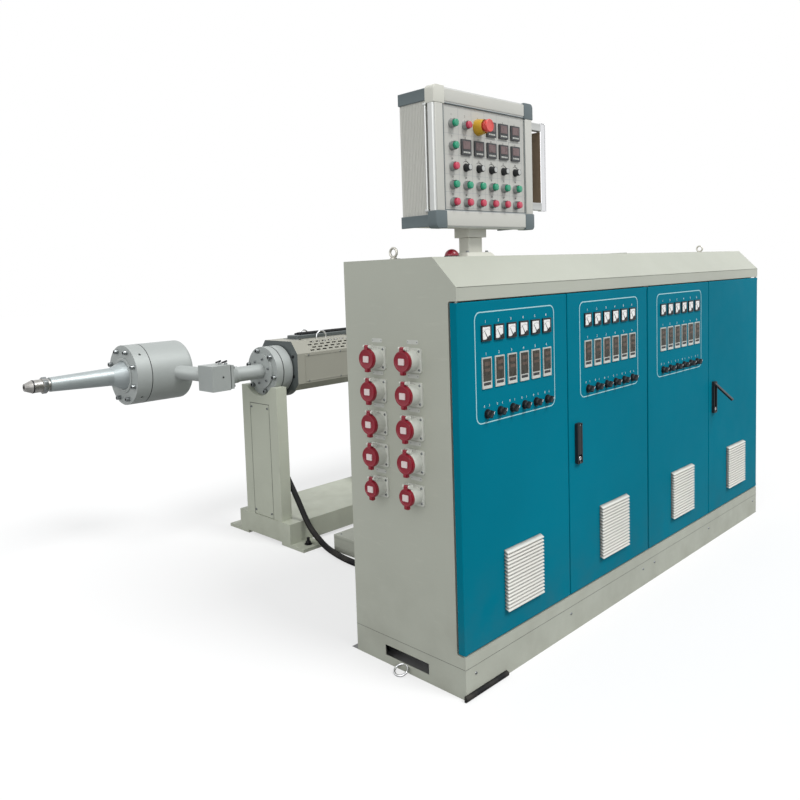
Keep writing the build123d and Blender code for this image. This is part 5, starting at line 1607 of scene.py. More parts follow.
    def ammeters(self) -> None:
        """White dials with a needle and a black corner cover."""
        x, z, half = self.columns()[0], self.rows()[0], self.dial_half
        face = self.low.y - self.ammeter_proud
        rim = half - 0.0052
        bezel = Piece.block((x - half, face - 0.0024, z - half), (x + half, self.low.y, z + half))
        bezel.inset(FRONT_FACE, 0.0036)
        bezel.inset(central(Axis.FRONT, Vector((x, face, z)), 0.002), 0.0006, -0.0016)
        card = Piece.block((x - rim, face - 0.0014, z - rim), (x + rim, face - 0.0006, z + rim))
        card.rounded(0.0003, 1).paint(Finishes.CARD)
        hub = Vector((x + 0.004, face, z - 0.014))
        needle = Piece.block(hub - Vector((0.0014, 0.0022, 0)), hub + Vector((0.0014, -0.0016, 0.026)))
        needle.taper(towards(Axis.UP), (0.25, 1, 1), hub)
        needle.obj.data.transform(spin(hub, self.needle_turn, "Y"))
        cover = Piece.block((x - 0.004, face - 0.0024, z - rim), (x + rim, face - 0.0014, z - half + 0.0165))
        cover.taper(towards(Axis.UP), (0.3, 1, 1), (x + rim, face, z)).rounded(0.0004, 1)
        pivot = Piece.rod(hub + Vector((0.006, -0.0014, -0.001)), Axis.FRONT, 0.0036, 0.0018, 16)
        tick = Piece.block(hub + Vector((-0.0004, -0.0017, 0.0245)), hub + Vector((0.0004, -0.0013, 0.0285)))
        ticks = tick.paint(Finishes.INK_BLACK).copies(spin(hub, angle, "Y") for angle in range(-50, 36, 12))
        black = [part.paint(Finishes.BLACK) for part in (bezel, cover, pivot)]
        case = self.case(x, z, half - 0.0015, half - 0.0015, 0.058)
        self.repeat("ammeters", [*black, card, needle.paint(Finishes.INK_BLACK), case, *ticks])

    def case(self, x: float, z: float, half_x: float, half_z: float, depth: float) -> Piece:
        """Makes the part of an instrument that stands behind the leaf.

        Args:
            x: its middle.
            z: its middle.
            half_x: half its width.
            half_z: half its height.
            depth: behind the leaf's skin.

        Returns:
            The case.
        """
        skin = self.low.y
        case = Piece.block((x - half_x, skin, z - half_z), (x + half_x, skin + depth, z + half_z))
        return case.inset(towards(Axis.BACK), 0.004, -0.002).rounded(0.001, 1).paint(Finishes.BLACK)

    def controllers(self) -> None:
        """Tall controllers: pale bezel, dark window with two lines of figures, and keys."""
        x, z = self.columns()[0], self.rows()[1]
        face = self.low.y - self.controller_proud
        half_x, half_z = self.controller_half
        bezel = Piece.block((x - half_x, face - 0.002, z - half_z), (x + half_x, self.low.y, z + half_z))
        bezel.inset(FRONT_FACE, 0.0030, -0.0010).rounded(0.0008).paint(Finishes.PALE)
        parts = [bezel, self.case(x, z, half_x - 0.0015, half_z - 0.002, 0.080)]
        for half, foot, top, proud, finish in (
            (half_x - 0.0042, -0.0250, half_z - 0.0045, 0.0022, Finishes.GLASS),
            (half_x - 0.0062, -0.0375, -0.0290, 0.0018, Finishes.BLACK),
        ):
            pane = Piece.block((x - half, face - proud, z + foot), (x + half, face - 0.0008, z + top))
            parts.append(pane.rounded(0.0004, 1).paint(finish))
        rows = (
            ((x - 0.0135, z + foot), (x + 0.0135, z + top))
            for foot, top in ((0.022, 0.034), (0.004, 0.013))
        )
        parts += bars(rows, face - 0.0026, face - 0.0021, Finishes.FIGURES)
        key = Piece.block((x - 0.0165, face - 0.0026, z - 0.0355), (x - 0.0100, face - 0.0016, z - 0.0310))
        parts += key.rounded(0.0004, 1).paint(Finishes.CASE).copies(steps((0.0085, 0, 0), 4))
        self.repeat("controllers", parts)

    def selectors(self) -> bpy.types.Object:
        """Black turning knobs with a white pointer, a ring and the switch behind."""
        x, z, skin = self.columns()[0], self.rows()[2], self.low.y
        ring = Piece.rod((x, skin, z), Axis.FRONT, 0.0150, 0.0036, 32).inset(FRONT_FACE, 0.002, -0.0008)
        knob = Piece.rod((x, skin - 0.003, z), Axis.FRONT, 0.0128, 0.0095, 28, end_radius=0.0115)
        grip = Piece.block((x - 0.0046, skin - 0.0235, z - 0.0122), (x + 0.0046, skin - 0.011, z + 0.0122))
        grip.taper(FRONT_FACE, (0.62, 1, 0.9), (x, skin, z))
        switch = Piece.rod((x, skin, z), Axis.BACK, 0.0108, 0.042, 24)
        switch.inset(towards(Axis.BACK), 0.003, -0.002)
        black = [
            part.paint(Finishes.BLACK)
            for part in (ring, knob.rounded(0.0010), grip.rounded(0.0010), switch)
        ]
        span = [((x - 0.0007, z + 0.002), (x + 0.0007, z + 0.0105))]
        pointer = bars(span, skin - 0.0240, skin - 0.0232, Finishes.INK_WHITE)
        return self.repeat("selectors", [*black, *pointer], self.selector_turn)

    def zone_numbers(self) -> None:
        """Zone numbers over the dials and controllers, and 0 and 1 over each selector."""
        ammeter, controller, selector = self.rows()
        marks = []
        for index, x in enumerate(self.columns()):
            zone = str(index + 1)
            for word, across, z, size in (
                (zone, 0.0, ammeter + 0.035, 0.012),
                (zone, 0.0, controller + 0.058, 0.012),
                ("0", -0.014, selector + 0.024, 0.011),
                ("1", 0.012, selector + 0.024, 0.011),
            ):
                marks.append(
                    printed(word, (x + across, self.low.y - 0.0003, z), size).paint(Finishes.INK_WHITE)
                )
        self.mount("numbers", marks, "pale_plastic")

    def handle(self) -> None:
        """Handle plate, its key barrel and the plate's screws."""
        plate = self.name("handle_plate")
        dress(plate, Finishes.BLACK)
        dress(self.name("handle_lever"), Finishes.BLACK)
        low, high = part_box(plate)
        x, y, z = (low.x + high.x) / 2, low.y, low.z + 0.018
        barrel = Piece.rod((x, y + 0.009, z), Axis.FRONT, 0.0075, 0.0085, 24)
        barrel.cut(Piece.block((x - 0.0009, y - 0.003, z - 0.0045), (x + 0.0009, y + 0.004, z + 0.0045)))
        screws = [
            Piece.rod((x, y, end), Axis.FRONT, 0.0024, 0.0008, 14)
            for end in (low.z + 0.006, high.z - 0.006)
        ]
        trim = [part.paint(Finishes.CHROME) for part in (barrel.rounded(0.0005, 1), *screws)]
        self.mount("handle_trim", trim, "zinc_plate")


class Cap(Enum):
    """What a button's cap is made of."""

    GREEN = "GREEN"
    RED = "RED"

    @property
    def finish(self) -> Moulding:
        """The cap's finish."""
        return getattr(Finishes, self.value)


@dataclass
class OperatorBox:
    """Box on the turning neck: profiles, corner caps, ribbed sides and every control.

    Drops are from the panel's top to each row. A cap is a width and a height, a printed line its
    thickness and width, the grip where its upright starts and ends, and the shroud its two radii.
    """

    first: float = 0.041
    pitch: float = 0.0663
    drops: tuple[float, ...] = (0.056, 0.123, 0.185, 0.240, 0.293)
    columns: int = 6
    button_radius: float = 0.014
    cap_proud: float = 0.022
    display: float = 0.048
    cap: Flat = (0.050, 0.052)
    bead: float = 0.0024
    strip: float = 0.032
    rib_pitch: float = 0.0062
    line: Flat = (0.00018, 0.0007)
    grip: Flat = (0.056, 0.088)
    grip_arm: float = 0.030
    liner_depth: float = 0.044
    shroud: Flat = (0.0262, 0.0215)

    def place(self, column: int, row: int) -> Vector:
        """Where a control stands on the panel."""
        low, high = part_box("operator_panel")
        return Vector((low.x + self.first + self.pitch * column, low.y, high.z - self.drops[row]))

    def build(self) -> None:
        """Dresses the box and adds its parts."""
        dress("operator_box", Finishes.BOX_SIDE)
        dress("operator_frame", Finishes.ALUMINIUM)
        dress("operator_panel", Finishes.PANEL)
        dress("neck_base", Finishes.NECK)
        dress("neck_head", Finishes.NECK)
        self.profiles()
        self.corner_caps()
        self.sides()
        self.hinge_rod()
        self.panel_lines()
        self.panel_numbers()
        self.grip_bar()
        self.controls()
        self.neck()
        self.back()

    def profiles(self) -> None:
        """Painted faces and the seal of the four front profiles."""
        low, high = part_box("operator_frame")
        near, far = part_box("operator_panel")
        wide, tall = self.cap
        spans = (
            ((low.x + wide, far.z + 0.006), (high.x - wide, high.z - 0.006)),
            ((low.x + wide, low.z + 0.006), (high.x - wide, near.z - 0.006)),
            ((low.x + 0.005, low.z + tall), (near.x - 0.005, high.z - tall)),
            ((far.x + 0.005, low.z + tall), (high.x - 0.005, high.z - tall)),
        )
        faces = bars(spans, low.y - 0.0022, low.y + 0.004, Finishes.BOX_SIDE)
        for face in faces:
            face.inset(FRONT_FACE, 0.003, 0.0008).rounded(0.0008)
        left, right = near.x - self.bead, far.x + self.bead
        seal = (
            ((left, far.z), (right, far.z + self.bead)),
            ((left, near.z - self.bead), (right, near.z)),
            ((left, near.z), (near.x, far.z)),
            ((far.x, near.z), (right, far.z)),
        )
        faces += bars(seal, low.y - 0.0008, low.y + 0.003, Finishes.BOX_CAP)
        mount("operator_profiles", faces, "box_aluminium", OPERATOR)

    def corner_caps(self) -> None:
        """Cast caps that close the four corners of the front frame."""
        low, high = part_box("operator_frame")
        wide, tall, proud = *self.cap, 0.0015
        caps = []
        for x, side in ((low.x, 1), (high.x, -1)):
            for z, rise in ((low.z, 1), (high.z, -1)):
                cap = Piece.block(
                    (x - side * proud, low.y - 0.0035, z - rise * proud),
                    (x + side * wide, high.y + 0.010, z + rise * tall),
                )
                cap.bevel_edges(
                    lambda spot, way, x=x, z=z: abs(way.y) > 0.01
                    and abs(spot.x - x) < 0.004
                    and abs(spot.z - z) < 0.004,
                    0.014,
                    6,
                )
                light = rise < 0 < side
                caps.append(cap.rounded(0.0022, 3).paint(Finishes.NECK if light else Finishes.BOX_CAP))
        mount("operator_corner_caps", caps, "box_paint", OPERATOR)

    def sides(self) -> None:
        """Ribbed side walls between dark strips."""
        low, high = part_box("operator_box")
        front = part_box("operator_frame")[1].y + 0.004
        count = int((high.y - front - 0.004) / self.rib_pitch)
        ribs: list[Piece] = []
        strips: list[Piece] = []
        for x, side, out in ((low.x, -1, Axis.LEFT), (high.x, 1, Axis.RIGHT)):
            rib = Piece.block(
                (x, front, low.z + self.strip),
                (x + side * 0.0016, front + self.rib_pitch * 0.55, high.z - self.strip),
            )
            rib.taper(towards(out), (1, 0.55, 1), (x, front + self.rib_pitch * 0.275, (low.z + high.z) / 2))
            ribs += rib.paint(Finishes.BOX_SIDE).copies(steps((0, self.rib_pitch, 0), count))
            for z0, z1 in ((low.z - 0.004, low.z + self.strip), (high.z - self.strip, high.z + 0.004)):
                strip = Piece.block(
                    (x - side * 0.002, front - 0.002, z0), (x + side * 0.006, high.y + 0.002, z1)
                )
                strip.inset(towards(out), 0.005, -0.0012)
                strips.append(strip.rounded(0.0014).paint(Finishes.BOX_CAP))
        mount("operator_side_ribs", ribs, "box_paint", OPERATOR)
        mount("operator_side_strips", strips, "box_paint", OPERATOR)

    def hinge_rod(self) -> None:
        """Rod that the front frame swings on, between two feet."""
        low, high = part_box("operator_box")
        front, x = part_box("operator_frame")[1].y, low.x - 0.006
        length = high.z - low.z - 0.09
        parts = [Piece.rod((x, front + 0.012, low.z + 0.045), Axis.UP, 0.0042, length, 20)]
        for z in (low.z + 0.040, high.z - 0.048):
            foot = Piece.block((x - 0.006, front + 0.005, z), (low.x + 0.001, front + 0.019, z + 0.008))
            parts.append(foot.rounded(0.0012))
        parts = [part.paint(Finishes.ALUMINIUM) for part in parts]
        mount("operator_hinge_rod", parts, "box_aluminium", OPERATOR)

    def panel_lines(self) -> None:
        """Printed cell lines on the panel and the frame round them."""
        low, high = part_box("operator_panel")
        thick, wide = self.line
        x0, z0, x1, z1 = low.x + 0.006, low.z + 0.006, high.x - 0.012, high.z - 0.006
        spans = []
        for column in range(1, self.columns):
            x = low.x + self.first + self.pitch * (column - 0.5)
            spans.append(((x - wide / 2, z0), (x + wide / 2, z1)))
        for above, below in zip(self.drops, self.drops[1:]):
            z = high.z - (above + below) / 2 + 0.004
            spans.append(((x0, z - wide / 2), (x1, z + wide / 2)))
        lines = bars(spans, low.y - thick, low.y, Finishes.INK_GREY)
        border = printed_frame((x0, z0), (x1, z1), (low.y - thick, low.y - thick / 4), 0.006, 5, wide)
        lines.append(border.paint(Finishes.INK_GREY))
        mount("operator_panel_lines", lines, "panel_plate", OPERATOR)

    def panel_numbers(self) -> None:
        """A plain number above each control."""
        marks = []
        for row in range(len(self.drops)):
            for column in range(self.columns):
                spot = self.place(column, row)
                rise = 0.0275 if row in (0, 1) else 0.0235
                word = str(self.columns * row + column + 1)
                marks.append(
                    printed(word, spot + Vector((0, -0.0002, rise)), 0.0085).paint(Finishes.INK_BLACK)
                )
        mount("operator_numbers", marks, "panel_plate", OPERATOR)

    def grip_bar(self) -> None:
        """Square upright on two arms, with a brown liner behind it."""
        low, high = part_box("operator_grip")
        inner, outer = (low.x + place for place in self.grip)
        arm_z = self.grip_arm
        upright = Piece.block((inner, low.y, low.z), (outer, high.y, high.z))
        upright.bevel_edges(running(Axis.UP, 0.1), 0.005, 4).inset(FRONT_FACE, 0.004, -0.0012)
        parts = [upright.rounded(0.0008, 1).paint(Finishes.CHROME)]
        for foot in (low.z, high.z - arm_z):
            arm = Piece.block(
                (low.x, low.y + 0.001, foot + 0.002), (inner + 0.004, high.y, foot + arm_z - 0.002)
            )
            parts.append(arm.inset(FRONT_FACE, 0.004, -0.001).rounded(0.002, 3).paint(Finishes.ALUMINIUM))
        liner = Piece.block(
            (inner - 0.0025, low.y + 0.003, low.z + arm_z), (inner, low.y + self.liner_depth, high.z - arm_z)
        )
        liner.inset(towards(Axis.LEFT), 0.003, -0.0005)
        parts.append(liner.rounded(0.0006, 1).paint(Finishes.LINER))
        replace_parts(mount("grip_bar", parts, "box_aluminium", OPERATOR), "operator_grip")

    def controls(self) -> None:
        """Buttons, displays, dials and the stop button, in place of their plain solids."""
        greens = [(0, 0), (0, 1)] + [(column, 3) for column in range(self.columns)]
        reds = [(1, 0), (0, 2)] + [(column, 4) for column in range(self.columns)]
        meters = [(column, 0) for column in (3, 4, 5)] + [(column, 1) for column in range(1, 6)]
        first = self.spread("green_buttons", self.button(Cap.GREEN), greens)
        self.spread("red_buttons", self.button(Cap.RED), reds)
        self.spread("panel_meters", self.meter(), meters)
        self.spread("panel_dials", self.dial(), [(column, 2) for column in range(1, 6)])
        self.spread("stop_button", self.stop(), [(2, 0)])
        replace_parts(first, "operator_controls")

    def spread(self, name: str, one: Piece, spots: Iterable[tuple[int, int]]) -> bpy.types.Object:
        """Copies one control to places on the panel, given by column and row."""
        twins = one.copies(Matrix.Translation(self.place(*spot)) for spot in spots)
        return mount(name, twins, "control_plastic", OPERATOR)

    def button(self, cap: Cap) -> Piece:
        """A metal collar with a domed coloured cap."""
        radius = self.button_radius
        collar = Piece.rod((0, 0, 0), Axis.FRONT, radius + 0.0008, 0.004, 32)
        collar.rounded(0.0008).paint(Finishes.RIM)
        sleeve = Piece.rod((0, -0.003, 0), Axis.FRONT, radius, 0.011, 32, end_radius=radius - 0.001)
        sleeve.inset(FRONT_FACE, 0.0018, -0.003).paint(Finishes.RIM)
        top = Piece.rod((0, -0.010, 0), Axis.FRONT, radius - 0.0032, self.cap_proud - 0.010, 28)
        top.inset(FRONT_FACE, 0.0022, 0.0008).rounded(0.0012, 3).paint(cap.finish)
        return join([collar, sleeve, top])

    def meter(self) -> Piece:
        """A square panel meter: black bezel, window, and four keys."""
        half = self.display / 2
        bezel = Piece.block((-half, -0.0062, -half), (half, 0, half))
        bezel.inset(FRONT_FACE, 0.003, -0.0009).rounded(0.0009).paint(Finishes.CASE)
        window = Piece.block((-half + 0.006, -0.0066, -0.006), (half - 0.006, -0.0050, half - 0.005))
        window.rounded(0.0004, 1).paint(Finishes.DIGITS)
        label = Piece.block((-half + 0.006, -0.0060, -half + 0.0135), (half - 0.006, -0.0050, -0.0075))
        key = Piece.block((-0.0165, -0.0068, -half + 0.0055), (-0.0100, -0.0050, -half + 0.0105))
        keys = key.rounded(0.0004, 1).paint(Finishes.PALE).copies(steps((0.0088, 0, 0), 4))
        return join([bezel, window, label.paint(Finishes.CASE), *keys])

    def dial(self) -> Piece:
        """A black ribbed dial with a pale face, and a printed sweep above it."""
        skirt = Piece.rod((0, 0, 0), Axis.FRONT, 0.0132, 0.004, 32, end_radius=0.0124)
        grip = Piece.rod((0, -0.004, 0), Axis.FRONT, 0.0112, 0.0145, 20, end_radius=0.0104)
        face = Piece.rod((0, -0.0183, 0), Axis.FRONT, 0.0080, 0.0010, 28)
        mark = Piece.block((-0.0009, -0.0190, 0.002), (0.0009, -0.0180, 0.0104)).paint(Finishes.CARD)
        foot = Vector((0, 0, 0.0185))
        sweep = Piece.block((-0.0008, -0.0002, foot.z), (0.0008, 0.0, 0.0215)).paint(Finishes.INK_BLACK)
        up, down = Matrix.Translation(foot), Matrix.Translation(-foot)
        wedges = [
            spin((0, 0, 0), 9.0 * step - 30, "Y")
            @ up @ Matrix.Diagonal((2.6, 1, 0.35 + 0.065 * step, 1)) @ down
            for step in range(11)
        ]
        black = [part.paint(Finishes.BLACK) for part in (skirt, grip.rounded(0.0007, 1))]
        face.rounded(0.0003, 1).paint(Finishes.ALUMINIUM)
        return join([*black, face, mark, *sweep.copies(wedges)])

    def stop(self) -> Piece:
        """The red mushroom button in its yellow shroud."""
        foot, rim = self.shroud
        shroud = Piece.rod((0, 0, 0), Axis.FRONT, foot, 0.030, 48, end_radius=rim)
        shroud.inset(FRONT_FACE, 0.0035, -0.010).rounded(0.0012).paint(Finishes.YELLOW)
        neck = Piece.rod((0, -0.018, 0), Axis.FRONT, 0.0125, 0.016, 32)
        head = Piece.rod((0, -0.031, 0), Axis.FRONT, 0.0185, 0.017, 48, end_radius=0.0205)
        head.rounded(0.0032, 4).inset(towards(Axis.FRONT, 0.95), 0.004, -0.0012).rounded(0.0006)
        return join([shroud, *(part.paint(Finishes.STOP_RED) for part in (neck, head))])

    def neck(self) -> None:
        """Foot bolts of the neck."""
        low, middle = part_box("neck_base")[0], middle_of("neck_base")
        bolts = [(*spot, low.z + 0.0135) for spot in corners(middle.x, middle.y, 0.052, 0.026)]
        FASTENERS.hex_bolts("neck_bolts", 0.0055, 0.005, bolts, Axis.UP, "zinc_plate")

    def back(self) -> None:
        """Rear cover of the box with its screws."""
        low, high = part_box("operator_box")
        edge, face = 0.018, high.y + 0.0025
        cover = Piece.block(
            (low.x + edge, high.y - 0.001, low.z + edge), (high.x - edge, face, high.z - edge)
        )
        cover.inset(towards(Axis.BACK), 0.016, -0.0008)
        cover.rounded(0.0008, 1).paint(Finishes.BOX_SIDE).ride("operator_back", "box_paint", OPERATOR)
        middle, wide = (low + high) / 2, (high - low) / 2 - Vector((0.026, 0, 0.026))
        places = [(middle.x + x, face, middle.z + z) for x in (-wide.x, 0, wide.x) for z in (-wide.z, wide.z)]
        FASTENERS.dome_screws("operator_back_screws", 0.0042, places, Axis.BACK, OPERATOR)


@dataclass
class Die:
    """Crosshead die with its nozzle, feed bend and adapter block.

    A bolt is a radius and a height, a seam a radius and its wire, and the collar a bore, a radius and
    a length. The nut and the tip are a place along the nozzle, a radius and a length.
    """

    bolt_circle: float = 0.1187
    bolt_count: int = 8
    bolt: Flat = (0.0105, 0.020)
    seam: Flat = (0.1414, 0.0011)
    collar: Point = (0.0688, 0.084, 0.006)
    nut: Point = (0.0755, 0.0374, 0.022)
    tip: Point = (0.0325, 0.0294, 0.006)
    bright_length: float = 0.112
    clamp: float = 0.043

    def build(self) -> None:
        """Dresses the die and adds its screws and fittings."""
        for node in ("die_body", "die_flange", "feed_bend", "adapter_block"):
            dress(node, Finishes.SILVER)
        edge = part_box("die_nozzle")[0].x + self.bright_length
        dress("die_nozzle", TippedSteel("nozzle_steel", (176, 184, 185), (196, 194, 190), edge))
        self.flange()
        self.nozzle()
        self.fittings()

    def flange(self) -> None:
        """Cap screws through the front flange, the joint behind it and the nozzle's collar."""
        low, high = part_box("die_flange")
        _, y, z = middle_of("die_flange")
        places = circle_places((low.x, y, z), self.bolt_circle, self.bolt_count, 22.5)
        FASTENERS.cap_screws("die_screws", *self.bolt, places, Axis.LEFT)
        seam = Piece.ring((high.x, y, z), Axis.LEFT, *self.seam, 96, 8)
        seam.paint(Finishes.BLACK_OXIDE).ride("die_seam", "machined_steel")
        bore, radius, length = self.collar
        collar = Piece.rod((low.x + 0.001, y, z), Axis.LEFT, radius, length, 72)
        collar.cut(Piece.rod((low.x + 0.01, y, z), Axis.LEFT, bore, 0.03, 72))
        collar.rounded(0.0015).paint(Finishes.SILVER).ride("nozzle_collar", "machined_steel")

    def nozzle(self) -> None:
        """Hexagon and end ring of the nozzle."""
        start, (_, y, z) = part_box("die_nozzle")[0].x, middle_of("die_nozzle")
        parts = []
        for (place, radius, length), sides, soft, finish in (
            (self.nut, 6, 0.0016, Finishes.BOLT), (self.tip, 48, 0.0008, Finishes.BLACK_OXIDE),
        ):
            part = Piece.rod((start + place, y, z), Axis.RIGHT, radius, length, sides)
            parts.append(part.rounded(soft).paint(finish))
        mount("nozzle_nut", parts, "machined_steel")

    def fittings(self) -> None:
        """Temperature probes and clamp screws of the block."""
        high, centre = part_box("adapter_block")[1], middle_of("adapter_block")
        top, parts = high.z, []
        for x, y in ((high.x - 0.088, centre.y + 0.008), (high.x - 0.074, centre.y - 0.022)):
            nut = Piece.rod((x, y, top), Axis.UP, 0.0085, 0.006, 6)
            stem = Piece.rod((x, y, top + 0.006), Axis.UP, 0.0040, 0.005, 16)
            head = Piece.rod((x - 0.022, y, top + 0.009), Vector((1, 0, 0.22)), 0.0042, 0.030, 16)
            parts.append(nut.rounded(0.0006, 1).paint(Finishes.BOLT))
            parts.append(stem.paint(Finishes.CHROME))
            parts.append(head.rounded(0.0010).paint(Finishes.BLACK_OXIDE))
        mount("block_probes", parts, "machined_steel")
        spots = corners(centre.y, centre.z, self.clamp, self.clamp)
        places = [(high.x - 0.053, *spot) for spot in spots]
        FASTENERS.cap_screws("clamp_screws", 0.0075, 0.010, places, Axis.RIGHT)


@dataclass
class Barrel:
    """Adapter discs, barrel cover with its end plate, and the blowers below.

    A bolt is a radius and a height, a seam or a handle a radius and its wire, and a lead its offset,
    lift and radius. Clips stand at shares of the cover's length. The guard has a radius for each ring.
    """

    bolt_circle: float = 0.102
    bolt_count: int = 6
    bolt: Flat = (0.0115, 0.018)
    seam: Flat = (0.1184, 0.0014)
    hub: float = 0.062
    cover_screws: int = 7
    leads: tuple[Point, ...] = ((-0.018, 0.006, 0.006), (0.004, 0.007, 0.007), (0.022, 0.005, 0.005))
    clips: tuple[float, ...] = (0.04, 0.28, 0.52, 0.76, 0.96)
    handle: Flat = (0.032, 0.0042)
    blowers: int = 3
    blower_start: float = 0.6
    guard: Point = (0.02, 0.035, 0.050)

    def build(self) -> None:
        """Dresses the barrel and adds its fittings."""
        dress("adapter_flange", Finishes.SILVER)
        dress("barrel", Finishes.SILVER)
        dress("barrel_cover", Finishes.COVER)
        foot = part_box("barrel_cover")[0].z
        # The end plate's end face and underside take the dark grey as painted shade; its other faces keep the
        # cover's colour.
        dress(
            "cover_end_plate", Finishes.COVER, Finishes.END_PLATE,
            lambda spot, normal: normal.x < -0.5 or spot.z < foot,
        )
        dress("cooling_blowers", Finishes.END_PLATE)
        self.disc_screws()
        self.cover_trim()
        self.top_wiring()
        self.blower_guards()

    def disc_screws(self) -> None:
        """Cap screws in front of the adapter disc, nuts behind the barrel's, and their joint."""
        end, (_, y, z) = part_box("adapter_flange")[1].x, middle_of("adapter_flange")
        front, back = end - 0.039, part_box("cover_end_plate")[0].x - 0.006
        screws, nuts = (
            circle_places((x, y, z), self.bolt_circle, self.bolt_count, 15) for x in (front, back)
        )
        FASTENERS.cap_screws("disc_screws", *self.bolt, screws, Axis.LEFT)
        seam = Piece.ring((end, y, z), Axis.LEFT, *self.seam, 96, 8)
        seam.paint(Finishes.BLACK_OXIDE).ride("disc_seam", "machined_steel")
        nut = Piece.rod((0, 0, 0), Axis.UP, 0.0105, 0.0055, 6)
        FASTENERS.place("disc_nuts", nut, nuts, Axis.RIGHT, "machined_steel")
        inner = circle_places((front - 0.010, y, z), self.hub, 6, 45)
        FASTENERS.cap_screws("hub_screws", 0.006, 0.006, inner, Axis.LEFT)

    def cover_trim(self) -> None:
        """Screws along the cover's borders and on its end plate."""
        low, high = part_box("barrel_cover")
        pitch = (high.x - low.x - 0.06) / (self.cover_screws - 1)
        spots = [
            (low.x + 0.03 + pitch * index, z)
            for index in range(self.cover_screws)
            for z in (low.z + 0.045, high.z - 0.071)
        ]
        for name, y, way in (("front", low.y, Axis.FRONT), ("back", high.y, Axis.BACK)):
            FASTENERS.dome_screws(f"cover_screws_{name}", 0.0046, [(x, y, z) for x, z in spots], way)
        x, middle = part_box("cover_end_plate")[0].x, (low.y + high.y) / 2
        ends = [(x, middle + side, z) for side in (-0.115, 0.115) for z in (low.z + 0.07, high.z - 0.075)]
        FASTENERS.hex_bolts(
            "end_plate_bolts", 0.006, 0.005, ends, Axis.LEFT, "end_plate_paint", Finishes.BLACK_OXIDE
        )

    def top_wiring(self) -> None:
        """Wiring duct, its leads and brackets, and lifting handles on top of the cover."""
        low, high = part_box("barrel_cover")
        y, top, run = (low.y + high.y) / 2, high.z, high.x - low.x
        duct = Piece.block((low.x + 0.05, y - 0.035, top), (high.x - 0.05, y + 0.035, top + 0.018))
        parts = [duct.inset(towards(Axis.UP), 0.006, 0.002).rounded(0.0015).paint(Finishes.END_PLATE)]
        for offset, lift, radius in self.leads:
            start = (low.x + 0.09, y + offset, top + 0.018 + lift)
            lead = Piece.rod(start, Axis.RIGHT, radius, run - 0.2, 16)
            parts.append(lead.rounded(0.002).paint(Finishes.RUBBER))
        for x in (low.x + run * share for share in self.clips):
            clip = Piece.block((x - 0.008, y - 0.06, top), (x + 0.008, y + 0.06, top + 0.003))
            parts.append(clip.extrude(FRONT_FACE, (0, -0.012, 0.008)).paint(Finishes.BOLT))
        for x in (low.x + 0.19, high.x - 0.22):
            for side in (-0.07, 0.07):
                handle = Piece.ring((x, y + side, top + 0.004), Axis.FRONT, *self.handle, 32, 12)
                handle.drop(lambda middle, normal: middle.z < top - 0.002)
                parts.append(handle.paint(Finishes.CHROME))
        mount("cover_top_duct", parts, "zinc_plate")

    def blower_guards(self) -> None:
        """Round inlet guards and motors on the blowers."""
        low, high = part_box("cooling_blowers")
        start, end = (corner.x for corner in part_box("barrel_cover"))
        run = (end - start - self.blower_start) / self.blowers
        x, z = start + self.blower_start + run / 2, low.z + 0.078
        parts = [
            Piece.ring((x, low.y - 0.005, z), Axis.FRONT, radius, 0.0014, 36, 6) for radius in self.guard
        ]
        for angle in (0, pi / 2, pi, 3 * pi / 2):
            way = Vector((cos(angle), 0, sin(angle)))
            parts.append(Piece.rod((x, low.y - 0.0035, z), way, 0.0016, 0.054, 8))
        parts = [part.paint(Finishes.BLACK_OXIDE) for part in parts]
        drum = Piece.rod((x, high.y, z), Axis.BACK, 0.045, 0.07, 36)
        parts.append(drum.inset(towards(Axis.BACK), 0.008, -0.004).rounded(0.003).paint(Finishes.DRIVE))
        guards = join(parts).copies(steps((run, 0, 0), self.blowers))
        mount("blower_guards", guards, "end_plate_paint")


